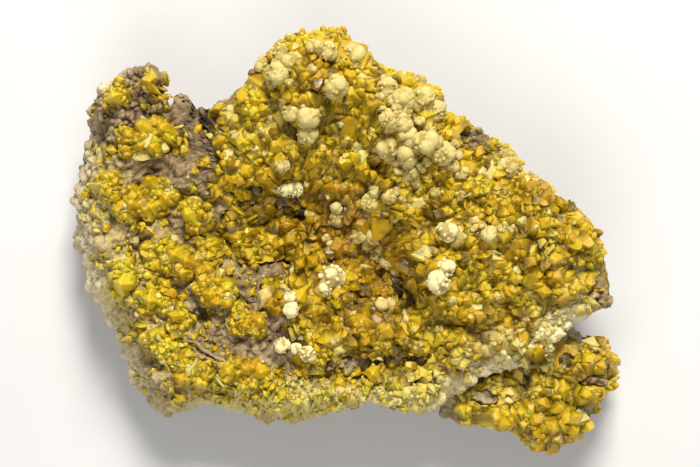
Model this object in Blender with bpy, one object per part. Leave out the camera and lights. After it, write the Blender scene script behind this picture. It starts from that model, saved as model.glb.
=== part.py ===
"""Native sulfur on host rock, a display specimen about 330 mm long, lying on its back.

A broken slab of grey-brown host rock has a hollow.  One crust of golden sulfur crystals
lines the hollow and the whole right side, and a second one covers a lobe that lies lower
at the lower right.  Separate sulfur clusters stand on the bare left side, and cream
cauliflower nodules grow on the crusts.

X runs to the right across the crystal face, Y up it and Z out of it.  The origin is on
the table, under the middle of the specimen.  Lengths below are in millimetres.
"""

import math
import random
from dataclasses import dataclass

import bmesh
import bpy
from mathutils import Matrix, Vector

MM = 0.001
GAP = 0.3
FLAT_ANGLE = math.radians(0.5)

# ---- the rock ----

HEART = (-4, 1)
FRONT_LEVEL = 60
FRONT_RINGS = 10
SIDE_RINGS = 3
FOOT_SHARE = 0.72
SHOULDER_START = 0.84
SHOULDER_POWER = 1.6
SIDE_POWER = 1.7
DROP_POWER = 1.2
SIDE_WOBBLE = 0.012
LUMP_HEIGHT = 2.2
SMALL_LUMP_HEIGHT = 1.2
SLOPE_STEP = 4

# The widest line round the slab, clockwise from its crown: x, y, its height above the
# table, and the share of the way from the heart to this line that the crust covers.
SLAB_EDGE = (
    (-8, 128, 60, 0.95), (0, 121, 60, 0.95), (10, 113, 60, 0.95), (20, 103, 62, 0.95),
    (36, 98, 64, 0.95), (47, 92, 66, 0.95), (57, 89, 66, 0.94), (60, 76, 66, 0.94),
    (72, 71, 62, 0.95), (87, 61, 60, 0.95), (100, 52, 58, 0.95), (108, 40, 58, 0.95),
    (120, 33, 58, 0.95), (129, 21, 58, 0.94), (137, 20, 58, 0.94), (148, 5, 60, 0.95),
    (155, -9, 62, 0.94), (159, -25, 64, 0.92), (158, -39, 66, 0.9), (150, -41, 66, 0.9),
    (137, -46, 66, 0.9), (128, -53, 66, 0.9), (124, -68, 66, 0.88), (104, -75, 64, 0.88),
    (84, -80, 62, 0.88), (68, -89, 60, 0.88), (56, -95, 58, 0.88), (50, -102, 56, 0.86),
    (34, -103, 54, 0.86), (26, -101, 54, 0.86), (15, -95, 54, 0.86), (-3, -104, 50, 0.84),
    (-13, -106, 48, 0.8), (-34, -109, 44, 0.7), (-52, -110, 40, 0.55), (-66, -103, 38, 0.48),
    (-86, -100, 34, 0.44), (-100, -103, 30, 0.42), (-110, -106, 28, 0.4), (-123, -99, 26, 0.4),
    (-133, -85, 26, 0.41), (-135, -74, 28, 0.43), (-141, -61, 30, 0.44), (-150, -41, 32, 0.43),
    (-159, -28, 34, 0.42), (-165, -2, 36, 0.43), (-166, 25, 38, 0.45), (-164, 46, 38, 0.48),
    (-159, 59, 40, 0.5), (-155, 64, 42, 0.51), (-159, 79, 44, 0.5), (-155, 87, 46, 0.5),
    (-148, 90, 48, 0.53), (-136, 86, 50, 0.57), (-122, 82, 52, 0.64), (-107, 82, 54, 0.72),
    (-102, 87, 54, 0.78), (-92, 79, 54, 0.84), (-85, 81, 54, 0.88), (-72, 86, 54, 0.93),
    (-58, 100, 56, 0.94), (-49, 112, 56, 0.94), (-36, 121, 58, 0.95), (-23, 123, 58, 0.95),
    (-15, 125, 60, 0.95),
)

# Rounded rises and dips of the crystal face: name, x, y, half length, half width, turn of
# the length in degrees, rise.
SLAB_FORMS = (
    ("west hollow", -37, 2, 40, 29, 0, -33),
    ("east hollow", 20, -16, 26, 17, -71, -27),
    ("bottom groove", 23, -74, 36, 10, 5, -10),
    ("dark pocket", -87, -45, 10, 8, 0, -14),
    ("crown", -25, 94, 42, 26, 10, 20),
    ("nodule ridge", 33, 70, 44, 19, -47, 22),
    ("right plateau", 104, 1, 56, 40, -40, 18),
    ("arete", 47, -14, 36, 10, -71, 14),
    ("lower right rim", 107, -64, 52, 13, 24, 12),
    ("bottom lip", 14, -94, 62, 9, 0, 8),
    ("left shoulder", -145, 7, 52, 20, 80, 10),
    ("upper left knob", -122, 58, 20, 16, 0, 8),
    ("left ledge", -72, 48, 26, 12, 30, 8),
)

LOBE_HEART = (118, -84)
LOBE_LEVEL = 44
LOBE_EDGE = (
    (134, -44, 30, 0.5), (142, -54, 28, 0.8), (155, -63, 27, 0.86), (162, -70, 26, 0.86),
    (166, -77, 26, 0.85), (162, -88, 25, 0.86), (153, -95, 24, 0.86), (148, -103, 24, 0.86),
    (144, -112, 24, 0.86), (141, -119, 24, 0.86), (131, -123, 24, 0.86), (122, -128, 24, 0.86),
    (114, -123, 24, 0.86), (108, -117, 25, 0.86), (88, -110, 26, 0.86), (70, -112, 28, 0.85),
    (58, -106, 30, 0.8), (56, -92, 32, 0.66), (72, -72, 34, 0.45), (98, -54, 34, 0.4),
)
LOBE_FORMS = (
    ("dark hole", 107, -84, 10, 9, 0, -11),
    ("east knob", 148, -73, 15, 10, 0, 7),
    ("south knob", 130, -109, 16, 11, 20, 7),
    ("grey saddle", 128, -72, 8, 7, 0, -4),
)

HORN_HEART = (-128, 84)
HORN_LEVEL = 68
HORN_EDGE = (
    (-150, 90, 54, 0), (-141, 96, 56, 0), (-127, 104, 58, 0), (-121, 105, 58, 0),
    (-115, 103, 58, 0), (-111, 97, 58, 0), (-114, 94, 58, 0), (-111, 89, 56, 0),
    (-107, 83, 54, 0), (-111, 70, 50, 0), (-130, 64, 50, 0), (-148, 72, 50, 0),
)
HORN_FORMS = (("knob", -133, 94, 9, 7, 0, 3),)


@dataclass(frozen=True)
class RockMass:
    """One lump of the rock: its widest line, its middle, and how it is closed below."""

    edge: tuple
    heart: tuple
    level: float
    forms: tuple
    front_rings: int
    foot_level: float
    crust_stride: int


SLAB = RockMass(SLAB_EDGE, HEART, FRONT_LEVEL, SLAB_FORMS, FRONT_RINGS, 0, 2)
LOBE = RockMass(LOBE_EDGE, LOBE_HEART, LOBE_LEVEL, LOBE_FORMS, 5, 4, 1)
HORN = RockMass(HORN_EDGE, HORN_HEART, HORN_LEVEL, HORN_FORMS, 3, 18, 1)

# ---- the sulfur ----

CRUST_RISE = 3
CRUST_BED = 8
CRUST_RINGS = 6
CRUST_SHIFT = (3, -4)
BORDER_THINNING = 0.4
BORDER_DEPTH = 0.2
BED_HEADROOM = 14
BED_CLEARANCE = 2 * GAP
BED_SPREAD = 1.5 * GAP
CRYSTAL_SPACING = 17
ROW_STEP = 0.866
CRYSTAL_STRAY = 3
CRYSTAL_WIDTHS = (9, 13)
CRYSTAL_LENGTHS = (0.7, 1)
CRYSTAL_TIPS = (0.2, 0.6)
SLAB_SEED = 11
LOBE_SEED = 5
CRYSTAL_CLEARANCE = 7
BORDER_CLEARANCE = 11
CRYSTAL_LEAN = 0.45
RHOMB = 0.81
CRUST_ROOT = 2.5
CLUSTER_ROOT = 3
MIDDLE_WIDTH = 1.7
MIDDLE_LENGTH = 0.75
MIDDLE_TIP = 0.45
GOLDEN_ANGLE = 2.4
ANGLE_STRAY = 0.4
FAN_LEAN = 0.8
FAN_SPREAD = 0.55
FAN_WIDTHS = (0.75, 1.05)
FAN_LENGTHS = (0.85, 1.15)
FAN_TIPS = (0.2, 0.5)

# Separate clusters: name, x, y, how far its crystals spread from the middle, their count.
CLUSTERS = (
    ("horn", -136, 88, 10, 4),
    ("horn_tip", -115, 95, 6, 3),
    ("upper_left", -118, 61, 15, 6),
    ("left_bright", -143, 33, 8, 3),
    ("left_large", -119, 24, 17, 7),
    ("left_inner", -89, 15, 10, 4),
    ("middle_left", -106, -9, 14, 6),
    ("middle_inner", -83, -7, 8, 3),
    ("west", -114, -34, 10, 4),
    ("west_low", -100, -46, 7, 3),
    ("chain_high", -80, -29, 12, 5),
    ("chain_low", -61, -48, 10, 4),
    ("left_rim", -134, -22, 8, 3),
    ("lower_west", -112, -62, 9, 3),
    ("lower_left", -94, -76, 12, 5),
    ("lower_middle", -58, -79, 13, 5),
)

# Cream nodules that touch each other, group by group: x, y and radius of each ball.
NODULES = {
    "top_west": ((-39, 111, 7.2), (-32, 105, 6.6), (-41, 98, 7.2), (-50, 104, 5)),
    "crown": ((-19, 114, 5.6), (-11, 111, 6.4)),
    "crown_east": ((4, 110, 7.2),),
    "upper": ((-6, 90, 7.8),),
    "upper_west": ((-32, 76, 6.4), (-22, 73, 7.8), (-23, 63, 6.8)),
    "mid_high": ((-38, 45, 5.4),),
    "mid_west": ((-38, 31, 4.5), (-31, 31, 5.4)),
    "ridge_top": ((24, 90, 6.6), (33, 83, 7.2), (45, 84, 7.4), (53, 76, 7)),
    "ridge_main": ((25, 55, 8.4), (36, 51, 7.6), (46, 57, 8.4), (57, 51, 7)),
    "ridge_side": ((24, 71, 5.4),),
    "ridge_foot": ((14, 23, 6), (17, 30, 4.8), (25, 26, 4.8)),
    "east": ((96, 44, 6.6), (95, 51, 4.6)),
    "centre": ((-6, 20, 4.2), (-6, 14, 4.8)),
    "chain_high": ((7, 4, 6), (17, 3, 6.2)),
    "chain_low": ((19, -9, 6), (26, -12, 6)),
    "large": ((-9, -22, 9), (-13, -29, 4.8)),
    "arete_high": ((59, 6, 7.2),),
    "arete_low": ((58, -16, 6.6), (54, -24, 7.8)),
    "plateau": ((84, 4, 5.4),),
    "floor": ((21, -38, 4.8),),
    "low_west": ((-33, -34, 4.8), (-33, -41, 5.4)),
    "bottom": ((-38, -62, 5.4), (-30, -64, 3.9), (-23, -67, 5.4)),
}
NODULE_PROUD = 0.35
NODULE_LUMP = 0.07
NODULE_BEARINGS = 7
NODULE_RINGS = 5


def clear_scene():
    """Removes whatever the scene holds."""
    for thing in list(bpy.data.objects):
        bpy.data.objects.remove(thing, do_unlink=True)


def make_material(name, colour, roughness):
    """A Principled material with a plain colour."""
    material = bpy.data.materials.new(name)
    material.use_nodes = True
    shader = material.node_tree.nodes["Principled BSDF"]
    shader.inputs["Base Color"].default_value = (*colour, 1)
    shader.inputs["Roughness"].default_value = roughness
    shader.inputs["Metallic"].default_value = 0
    return material


def make_collections():
    """The collection of the parts and the one of the cutters."""
    parts = bpy.data.collections.new("native_sulfur")
    cutters = bpy.data.collections.new("cutters")
    for collection in (parts, cutters):
        bpy.context.scene.collection.children.link(collection)
    return parts, cutters


def make_object(name, shape, collection, material=None):
    """Puts a bmesh into a new object; a piece without a material is a cutter."""
    bmesh.ops.triangulate(shape, faces=shape.faces, quad_method="FIXED")
    mesh = bpy.data.meshes.new(name)
    shape.to_mesh(mesh)
    shape.free()
    thing = bpy.data.objects.new(name, mesh)
    collection.objects.link(thing)
    if material:
        mesh.materials.append(material)
    else:
        thing.hide_render = True
        thing.display_type = "WIRE"
    return thing


def add_boolean(target, operation, tool):
    """Joins or cuts a piece with another one; either may overlap itself."""
    modifier = target.modifiers.new(tool.name, "BOOLEAN")
    modifier.operation = operation
    modifier.solver = "EXACT"
    modifier.object = tool
    modifier.use_self = True


def keep_largest_body(part):
    """Turns a part's modifiers into faces and drops crumbs that a cut left loose."""
    graph = bpy.context.evaluated_depsgraph_get()
    mesh = bpy.data.meshes.new_from_object(part.evaluated_get(graph))
    part.modifiers.clear()
    part.data = mesh
    shape = bmesh.new()
    shape.from_mesh(mesh)
    left = set(shape.verts)
    bodies = []
    while left:
        body = set()
        front = [left.pop()]
        while front:
            vert = front.pop()
            body.add(vert)
            near = [edge.other_vert(vert) for edge in vert.link_edges]
            fresh = [other for other in near if other in left]
            left.difference_update(fresh)
            front.extend(fresh)
        bodies.append(body)
    bodies.sort(key=len)
    for body in bodies[:-1]:
        bmesh.ops.delete(shape, geom=list(body), context="VERTS")
    bmesh.ops.dissolve_limit(
        shape, angle_limit=FLAT_ANGLE, use_dissolve_boundaries=False, verts=shape.verts, edges=shape.edges
    )
    bmesh.ops.triangulate(shape, faces=shape.faces)
    shape.to_mesh(mesh)
    shape.free()


def remapped_sphere(bearings, rings, place):
    """A UV sphere whose points go to place(bearing, ring); ring 0 is the top pole."""
    shape = bmesh.new()
    bmesh.ops.create_uvsphere(shape, u_segments=bearings, v_segments=rings, radius=1)
    for vert in shape.verts:
        ring = round(math.acos(max(-1, min(1, vert.co.z))) / math.pi * rings)
        bearing = round(-math.atan2(vert.co.y, vert.co.x) / math.tau * bearings)
        vert.co = Vector(place(bearing % bearings, ring)) * MM
    if shape.calc_volume(signed=True) < 0:
        bmesh.ops.reverse_faces(shape, faces=shape.faces)
    return shape


def lumps(x, y):
    """Low knobs all over the rock, from bent waves of about 70 and 35 mm."""
    broad = math.sin(x / 11 + 1.7 * math.sin(y / 17)) * math.sin(y / 13 + 1.3 * math.sin(x / 19))
    fine = math.sin(x / 5.3 + 2 * math.sin(y / 9)) * math.sin(y / 5.9 + 2 * math.sin(x / 8))
    return LUMP_HEIGHT * broad + SMALL_LUMP_HEIGHT * fine


def face_height(mass, x, y):
    """Height of a mass's crystal face, before its shoulder turns down to the edge."""
    height = mass.level + lumps(x, y)
    for _, middle_x, middle_y, half_length, half_width, turn, rise in mass.forms:
        angle = math.radians(turn)
        along = (x - middle_x) * math.cos(angle) + (y - middle_y) * math.sin(angle)
        across = (y - middle_y) * math.cos(angle) - (x - middle_x) * math.sin(angle)
        height += rise * math.exp(-((along / half_length) ** 2) - (across / half_width) ** 2)
    return height


def edge_beyond(mass, x, y):
    """The share of the way from the heart to the edge at a point, and the edge's row there."""
    reach_x = x - mass.heart[0]
    reach_y = y - mass.heart[1]
    for number, row in enumerate(mass.edge):
        after = mass.edge[(number + 1) % len(mass.edge)]
        start_x = row[0] - mass.heart[0]
        start_y = row[1] - mass.heart[1]
        step_x = after[0] - row[0]
        step_y = after[1] - row[1]
        turned = reach_x * step_y - reach_y * step_x
        if abs(turned) < 1e-9:
            continue
        stretch = (start_x * step_y - start_y * step_x) / turned
        along = (start_x * reach_y - start_y * reach_x) / turned
        if stretch > 0 and 0 <= along <= 1:
            blend = [a + (b - a) * along for a, b in zip(row, after)]
            return 1 / stretch, blend
    return 0, mass.edge[0]


def shoulder(share):
    """How much of the face's height is left: 1 over the face, falling to 0 at the edge."""
    past = max(0, (share - SHOULDER_START) / (1 - SHOULDER_START))
    return 1 - min(1, past) ** SHOULDER_POWER


def front_height(mass, x, y):
    """Height of the finished front of a mass at a point."""
    share, row = edge_beyond(mass, x, y)
    return row[2] + (face_height(mass, x, y) - row[2]) * shoulder(share)


def outward(mass, x, y):
    """The direction in which the front of a mass faces at a point."""
    step = SLOPE_STEP
    slope_x = (front_height(mass, x + step, y) - front_height(mass, x - step, y)) / (2 * step)
    slope_y = (front_height(mass, x, y + step) - front_height(mass, x, y - step)) / (2 * step)
    return Vector((-slope_x, -slope_y, 1)).normalized()


def rock_point(mass, bearing, ring):
    """A point of a mass: over its front, down its side to the foot, then under it."""
    edge_x, edge_y, level, _ = mass.edge[bearing]
    heart_x, heart_y = mass.heart
    if ring <= mass.front_rings:
        share = ring / mass.front_rings
        x = heart_x + share * (edge_x - heart_x)
        y = heart_y + share * (edge_y - heart_y)
        height = level + (face_height(mass, x, y) - level) * shoulder(share)
        return x, y, height
    down = min(1, (ring - mass.front_rings) / SIDE_RINGS)
    share = 1 - (1 - FOOT_SHARE) * down**SIDE_POWER
    if ring > mass.front_rings + SIDE_RINGS:
        share = 0
    elif down < 1:
        share += SIDE_WOBBLE * math.sin(1.9 * bearing + 2.3 * ring)
    height = mass.foot_level + (level - mass.foot_level) * (1 - down**DROP_POWER)
    return heart_x + share * (edge_x - heart_x), heart_y + share * (edge_y - heart_y), height


def rock_shape(mass):
    """The closed shape of one mass of the rock."""
    rings = mass.front_rings + SIDE_RINGS + 1
    return remapped_sphere(len(mass.edge), rings, lambda b, r: rock_point(mass, b, r))


def crust_point(mass, bearing, ring, rise, bed, spread):
    """A point of a crust: over its top, round its border, then back under it."""
    edge_x, edge_y, _, reach = mass.edge[bearing]
    middle_x = mass.heart[0] + CRUST_SHIFT[0]
    middle_y = mass.heart[1] + CRUST_SHIFT[1]
    out = min(1, min(ring, 2 * CRUST_RINGS - ring) / (CRUST_RINGS - 1))
    x = middle_x + out * reach * (edge_x - middle_x)
    y = middle_y + out * reach * (edge_y - middle_y)
    height = front_height(mass, x, y)
    if out == 1:
        length = math.hypot(edge_x - middle_x, edge_y - middle_y)
        x += spread * (edge_x - middle_x) / length
        y += spread * (edge_y - middle_y) / length
    thinning = 1 - BORDER_THINNING * out**8
    if ring < CRUST_RINGS:
        return x, y, height + rise * thinning
    if ring == CRUST_RINGS:
        return x, y, height - bed * BORDER_DEPTH
    return x, y, height - bed * thinning


def crust_shape(mass, rise, bed, spread=0):
    """The closed shape of the crust of one mass, before its crystals."""

    def place(bearing, ring):
        return crust_point(mass, bearing * mass.crust_stride, ring, rise, bed, spread)

    return remapped_sphere(len(mass.edge) // mass.crust_stride, 2 * CRUST_RINGS, place)


def add_crystal(shape, foot, lean, width, length, tip, turn):
    """Adds a blunt rhombic pyramid that stands on the middle of its base."""
    pose = Matrix.Translation(Vector(foot) * MM)
    pose @= lean.to_track_quat("Z", "Y").to_matrix().to_4x4()
    pose @= Matrix.Rotation(turn, 4, "Z")
    pose @= Matrix.Diagonal((MM, RHOMB * MM, MM, 1))
    pose @= Matrix.Translation((0, 0, length / 2))
    bmesh.ops.create_cone(
        shape,
        cap_ends=True,
        segments=4,
        radius1=width / 2,
        radius2=width / 2 * tip,
        depth=length,
        matrix=pose,
    )


def nodule_balls():
    """Every ball of every nodule group."""
    return [ball for group in NODULES.values() for ball in group]


def is_clear_of_nodules(x, y, reach):
    """Whether a crystal of this reach stands clear of every nodule."""
    for ball_x, ball_y, radius in nodule_balls():
        if math.hypot(x - ball_x, y - ball_y) < radius + reach:
            return False
    return True


def crust_crystals(mass, seed):
    """The crystals of a crust, on a loosened honeycomb over its reach."""
    dice = random.Random(seed)
    shape = bmesh.new()
    xs = [row[0] for row in mass.edge]
    ys = [row[1] for row in mass.edge]
    row_spacing = CRYSTAL_SPACING * ROW_STEP
    rows = int((max(ys) - min(ys)) / row_spacing) + 1
    columns = int((max(xs) - min(xs)) / CRYSTAL_SPACING) + 1
    for row in range(rows):
        for column in range(columns):
            x = min(xs) + (column + 0.5 * (row % 2)) * CRYSTAL_SPACING
            x += dice.uniform(-CRYSTAL_STRAY, CRYSTAL_STRAY)
            y = min(ys) + row * row_spacing + dice.uniform(-CRYSTAL_STRAY, CRYSTAL_STRAY)
            width = dice.uniform(*CRYSTAL_WIDTHS)
            length = CRUST_ROOT + width * dice.uniform(*CRYSTAL_LENGTHS)
            tip = dice.uniform(*CRYSTAL_TIPS)
            turn = dice.uniform(0, math.pi)
            tilt = Vector((dice.uniform(-1, 1), dice.uniform(-1, 1), 0)) * CRYSTAL_LEAN
            share, edge = edge_beyond(mass, x, y)
            length_to_edge = math.hypot(edge[0] - mass.heart[0], edge[1] - mass.heart[1])
            to_border = (edge[3] - share) * length_to_edge
            if to_border < BORDER_CLEARANCE or not is_clear_of_nodules(x, y, CRYSTAL_CLEARANCE):
                continue
            facing = outward(mass, x, y)
            lean = (facing + tilt * facing.z**2).normalized()
            top = Vector((x, y, front_height(mass, x, y) + CRUST_RISE))
            foot = top - facing * CRUST_ROOT
            add_crystal(shape, foot, lean, width, length, tip, turn)
    return shape


def make_crust(name, mass, seed, collections, material, clearances):
    """Makes a crust with its crystals fused to it, and returns the bed that it needs in the rock."""
    parts, cutters = collections
    crust = make_object(name, crust_shape(mass, CRUST_RISE, CRUST_BED), parts, material)
    crystals = make_object(name + "_crystals", crust_crystals(mass, seed), cutters)
    add_boolean(crust, "UNION", crystals)
    for clearance in clearances:
        add_boolean(crust, "DIFFERENCE", clearance)
    keep_largest_body(crust)
    bed_shape = crust_shape(mass, BED_HEADROOM, CRUST_BED + BED_CLEARANCE, BED_SPREAD)
    return make_object(name + "_bed", bed_shape, cutters)


def make_cluster(row, seed, collections, material, clearances):
    """A separate sulfur cluster: a broad crystal in the middle and others that lean off it."""
    name, x, y, spread, count = row
    parts, cutters = collections
    dice = random.Random(seed)
    mass = HORN if name.startswith("horn") else SLAB
    facing = outward(mass, x, y)
    root = Vector((x, y, front_height(mass, x, y))) - facing * CLUSTER_ROOT
    middle = bmesh.new()
    length = CLUSTER_ROOT + spread * MIDDLE_LENGTH
    turn = dice.uniform(0, math.pi)
    add_crystal(middle, root, facing, spread * MIDDLE_WIDTH, length, MIDDLE_TIP, turn)
    others = bmesh.new()
    for number in range(1, count):
        angle = number * GOLDEN_ANGLE + dice.uniform(-ANGLE_STRAY, ANGLE_STRAY)
        side = Vector((math.cos(angle), math.sin(angle), 0))
        out = math.sqrt(number / count)
        width = spread * dice.uniform(*FAN_WIDTHS)
        length = CLUSTER_ROOT + width * dice.uniform(*FAN_LENGTHS)
        lean = (facing + side * out * FAN_LEAN).normalized()
        foot = root + side * (out * spread * FAN_SPREAD)
        tip = dice.uniform(*FAN_TIPS)
        add_crystal(others, foot, lean, width, length, tip, dice.uniform(0, math.pi))
    cluster = make_object("sulfur_cluster_" + name, middle, parts, material)
    tool = make_object(cluster.name + "_crystals", others, cutters)
    add_boolean(cluster, "UNION", tool)
    for clearance in clearances:
        add_boolean(cluster, "DIFFERENCE", clearance)
    keep_largest_body(cluster)


def add_ball(shape, ball):
    """Adds one lumpy ball of a nodule, seated on the crust."""
    x, y, radius = ball
    base = front_height(SLAB, x, y) + CRUST_RISE
    middle = Vector((x, y, base)) + outward(SLAB, x, y) * radius * NODULE_PROUD
    made = bmesh.ops.create_uvsphere(shape, u_segments=NODULE_BEARINGS, v_segments=NODULE_RINGS, radius=1)
    for vert in made["verts"]:
        lump = 1 + NODULE_LUMP * math.sin(5 * vert.co.x + x) * math.sin(6 * vert.co.y + 4 * vert.co.z + y)
        vert.co = (middle + vert.co * radius * lump) * MM


def make_nodule(name, balls, collections, material, clearances):
    """One group of cream balls that grew into each other."""
    parts, cutters = collections
    first = bmesh.new()
    add_ball(first, balls[0])
    nodule = make_object("nodule_" + name, first, parts, material)
    for number, ball in enumerate(balls[1:], 1):
        shape = bmesh.new()
        add_ball(shape, ball)
        add_boolean(nodule, "UNION", make_object(f"{name}_ball_{number}", shape, cutters))
    for clearance in clearances:
        add_boolean(nodule, "DIFFERENCE", clearance)
    keep_largest_body(nodule)


def make_clearance(name, mass, cutters):
    """A copy of a rock mass that is larger by the gap, to cut what stands on it."""
    clearance = make_object(name, rock_shape(mass), cutters)
    swell = clearance.modifiers.new("gap", "DISPLACE")
    swell.direction = "NORMAL"
    swell.mid_level = 0
    swell.strength = GAP * MM
    return clearance


def build_specimen():
    """Builds every piece of the specimen."""
    clear_scene()
    collections = make_collections()
    parts, cutters = collections
    rock = make_material("host_rock", (0.2, 0.16, 0.11), 0.9)
    sulfur = make_material("sulfur", (0.72, 0.52, 0.05), 0.25)
    cream = make_material("cream_nodule", (0.72, 0.68, 0.38), 0.85)

    slab_clearance = make_clearance("slab_clearance", SLAB, cutters)
    horn_clearance = make_clearance("horn_clearance", HORN, cutters)

    bed = make_crust("sulfur_crust", SLAB, SLAB_SEED, collections, sulfur, ())
    lobe_bed = make_crust(
        "sulfur_crust_lobe", LOBE, LOBE_SEED, collections, sulfur, (slab_clearance,)
    )

    matrix = make_object("matrix", rock_shape(SLAB), parts, rock)
    add_boolean(matrix, "DIFFERENCE", bed)
    lobe = make_object("lobe_rock", rock_shape(LOBE), cutters)
    add_boolean(lobe, "DIFFERENCE", lobe_bed)
    add_boolean(matrix, "UNION", lobe)
    add_boolean(matrix, "UNION", make_object("horn_rock", rock_shape(HORN), cutters))
    keep_largest_body(matrix)

    for seed, row in enumerate(CLUSTERS):
        clearances = (horn_clearance, slab_clearance)
        make_cluster(row, seed, collections, sulfur, clearances)

    seat = make_object("nodule_seat", crust_shape(SLAB, CRUST_RISE + GAP, CRUST_BED), cutters)
    for name, balls in NODULES.items():
        make_nodule(name, balls, collections, cream, (seat, slab_clearance))


build_specimen()
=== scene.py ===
"""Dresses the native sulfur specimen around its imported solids.

The host rock, the two sulfur crusts, the separate clusters and the cream nodules are
worked out here as fine surfaces in the places that the solids hold.  Lengths are in
millimetres until a mesh is made; X runs across the crystal face, Y up it and Z out of it.
"""

from __future__ import annotations

import logging
import math
from collections.abc import Callable, Sequence
from dataclasses import astuple, dataclass, field, fields
from enum import Enum
from itertools import combinations, product

import bpy
import numpy as np
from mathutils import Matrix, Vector

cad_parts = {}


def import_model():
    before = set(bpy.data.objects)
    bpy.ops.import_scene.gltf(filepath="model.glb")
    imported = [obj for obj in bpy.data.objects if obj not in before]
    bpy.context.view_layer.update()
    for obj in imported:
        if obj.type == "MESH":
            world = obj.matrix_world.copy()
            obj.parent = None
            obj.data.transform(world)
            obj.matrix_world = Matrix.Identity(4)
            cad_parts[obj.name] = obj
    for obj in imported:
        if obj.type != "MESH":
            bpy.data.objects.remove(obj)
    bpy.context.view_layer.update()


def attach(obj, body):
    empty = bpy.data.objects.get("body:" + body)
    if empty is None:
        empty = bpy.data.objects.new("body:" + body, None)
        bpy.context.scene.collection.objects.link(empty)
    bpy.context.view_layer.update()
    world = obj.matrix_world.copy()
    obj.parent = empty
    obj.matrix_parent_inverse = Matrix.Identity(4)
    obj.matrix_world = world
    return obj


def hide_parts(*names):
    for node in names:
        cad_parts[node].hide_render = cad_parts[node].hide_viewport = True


log = logging.getLogger("specimen")

MM = 0.001
BODY = "root"
GOLDEN_TURN = 2.399963
BUNCH_SIZE = 6.5
EDGE_WALL = 26.0
EDGE_REACH = 0.915
EDGE_RAMP = 0.03
EDGE_SPACING = 4.6
EDGE_SIZES = (2.0, 3.6)
CLUSTER_SEED = 200
NODULE_SEED = 300
SMALL_NODULE_SEED = 700
Array = np.ndarray
Ground = Callable[[Array, Array], Array]
Colour = tuple[float, float, float]
Place = tuple[float, float, float]
Dice = np.random.Generator
Socket = bpy.types.NodeSocket

# ---- the rock's form, as its solid has it ----

SHOULDER_START = 0.84
SHOULDER_POWER = 1.6
FOOT_SHARE = 0.72
SIDE_POWER = 1.7
DROP_POWER = 1.2
LUMP_HEIGHT = 2.2
SMALL_LUMP_HEIGHT = 1.2
EDGE_CUTS = 8
CRUST_RISE = 3.0
CRUST_SINK = 4.5
BARE_SINK = 4.0

# The widest line round the slab, clockwise from its crown: x, y, its height above the
# table, and the share of the way from the heart to this line that the crust covers.
SLAB_EDGE = (
    (-8, 128, 60, 0.95), (0, 121, 60, 0.95), (10, 113, 60, 0.95), (20, 103, 62, 0.95),
    (36, 98, 64, 0.95), (47, 92, 66, 0.95), (57, 89, 66, 0.94), (60, 76, 66, 0.94),
    (72, 71, 62, 0.95), (87, 61, 60, 0.95), (100, 52, 58, 0.95), (108, 40, 58, 0.95),
    (120, 33, 58, 0.95), (129, 21, 58, 0.94), (137, 20, 58, 0.94), (148, 5, 60, 0.95),
    (155, -9, 62, 0.94), (159, -25, 64, 0.92), (158, -39, 66, 0.9), (150, -41, 66, 0.9),
    (137, -46, 66, 0.9), (128, -53, 66, 0.9), (124, -68, 66, 0.88), (104, -75, 64, 0.88),
    (84, -80, 62, 0.88), (68, -89, 60, 0.88), (56, -95, 58, 0.88), (50, -102, 56, 0.86),
    (34, -103, 54, 0.86), (26, -101, 54, 0.86), (15, -95, 54, 0.86), (-3, -104, 50, 0.84),
    (-13, -106, 48, 0.8), (-34, -109, 44, 0.7), (-52, -110, 40, 0.55), (-66, -103, 38, 0.48),
    (-86, -100, 34, 0.44), (-100, -103, 30, 0.42), (-110, -106, 28, 0.4), (-123, -99, 26, 0.4),
    (-133, -85, 26, 0.41), (-135, -74, 28, 0.43), (-141, -61, 30, 0.44), (-150, -41, 32, 0.43),
    (-159, -28, 34, 0.42), (-165, -2, 36, 0.43), (-166, 25, 38, 0.45), (-164, 46, 38, 0.48),
    (-159, 59, 40, 0.5), (-155, 64, 42, 0.51), (-159, 79, 44, 0.5), (-155, 87, 46, 0.5),
    (-148, 90, 48, 0.53), (-136, 86, 50, 0.57), (-122, 82, 52, 0.64), (-107, 82, 54, 0.72),
    (-102, 87, 54, 0.78), (-92, 79, 54, 0.84), (-85, 81, 54, 0.88), (-72, 86, 54, 0.93),
    (-58, 100, 56, 0.94), (-49, 112, 56, 0.94), (-36, 121, 58, 0.95), (-23, 123, 58, 0.95),
    (-15, 125, 60, 0.95),
)

LOBE_EDGE = (
    (134, -44, 30, 0.5), (142, -54, 28, 0.8), (155, -63, 27, 0.86), (162, -70, 26, 0.86),
    (166, -77, 26, 0.85), (162, -88, 25, 0.86), (153, -95, 24, 0.86), (148, -103, 24, 0.86),
    (144, -112, 24, 0.86), (141, -119, 24, 0.86), (131, -123, 24, 0.86), (122, -128, 24, 0.86),
    (114, -123, 24, 0.86), (108, -117, 25, 0.86), (88, -110, 26, 0.86), (70, -112, 28, 0.85),
    (58, -106, 30, 0.8), (56, -92, 32, 0.66), (72, -72, 34, 0.45), (98, -54, 34, 0.4),
)

HORN_EDGE = (
    (-150, 90, 54, 0), (-141, 96, 56, 0), (-127, 104, 58, 0), (-121, 105, 58, 0),
    (-115, 103, 58, 0), (-111, 97, 58, 0), (-114, 94, 58, 0), (-111, 89, 56, 0),
    (-107, 83, 54, 0), (-111, 70, 50, 0), (-130, 64, 50, 0), (-148, 72, 50, 0),
)


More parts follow.
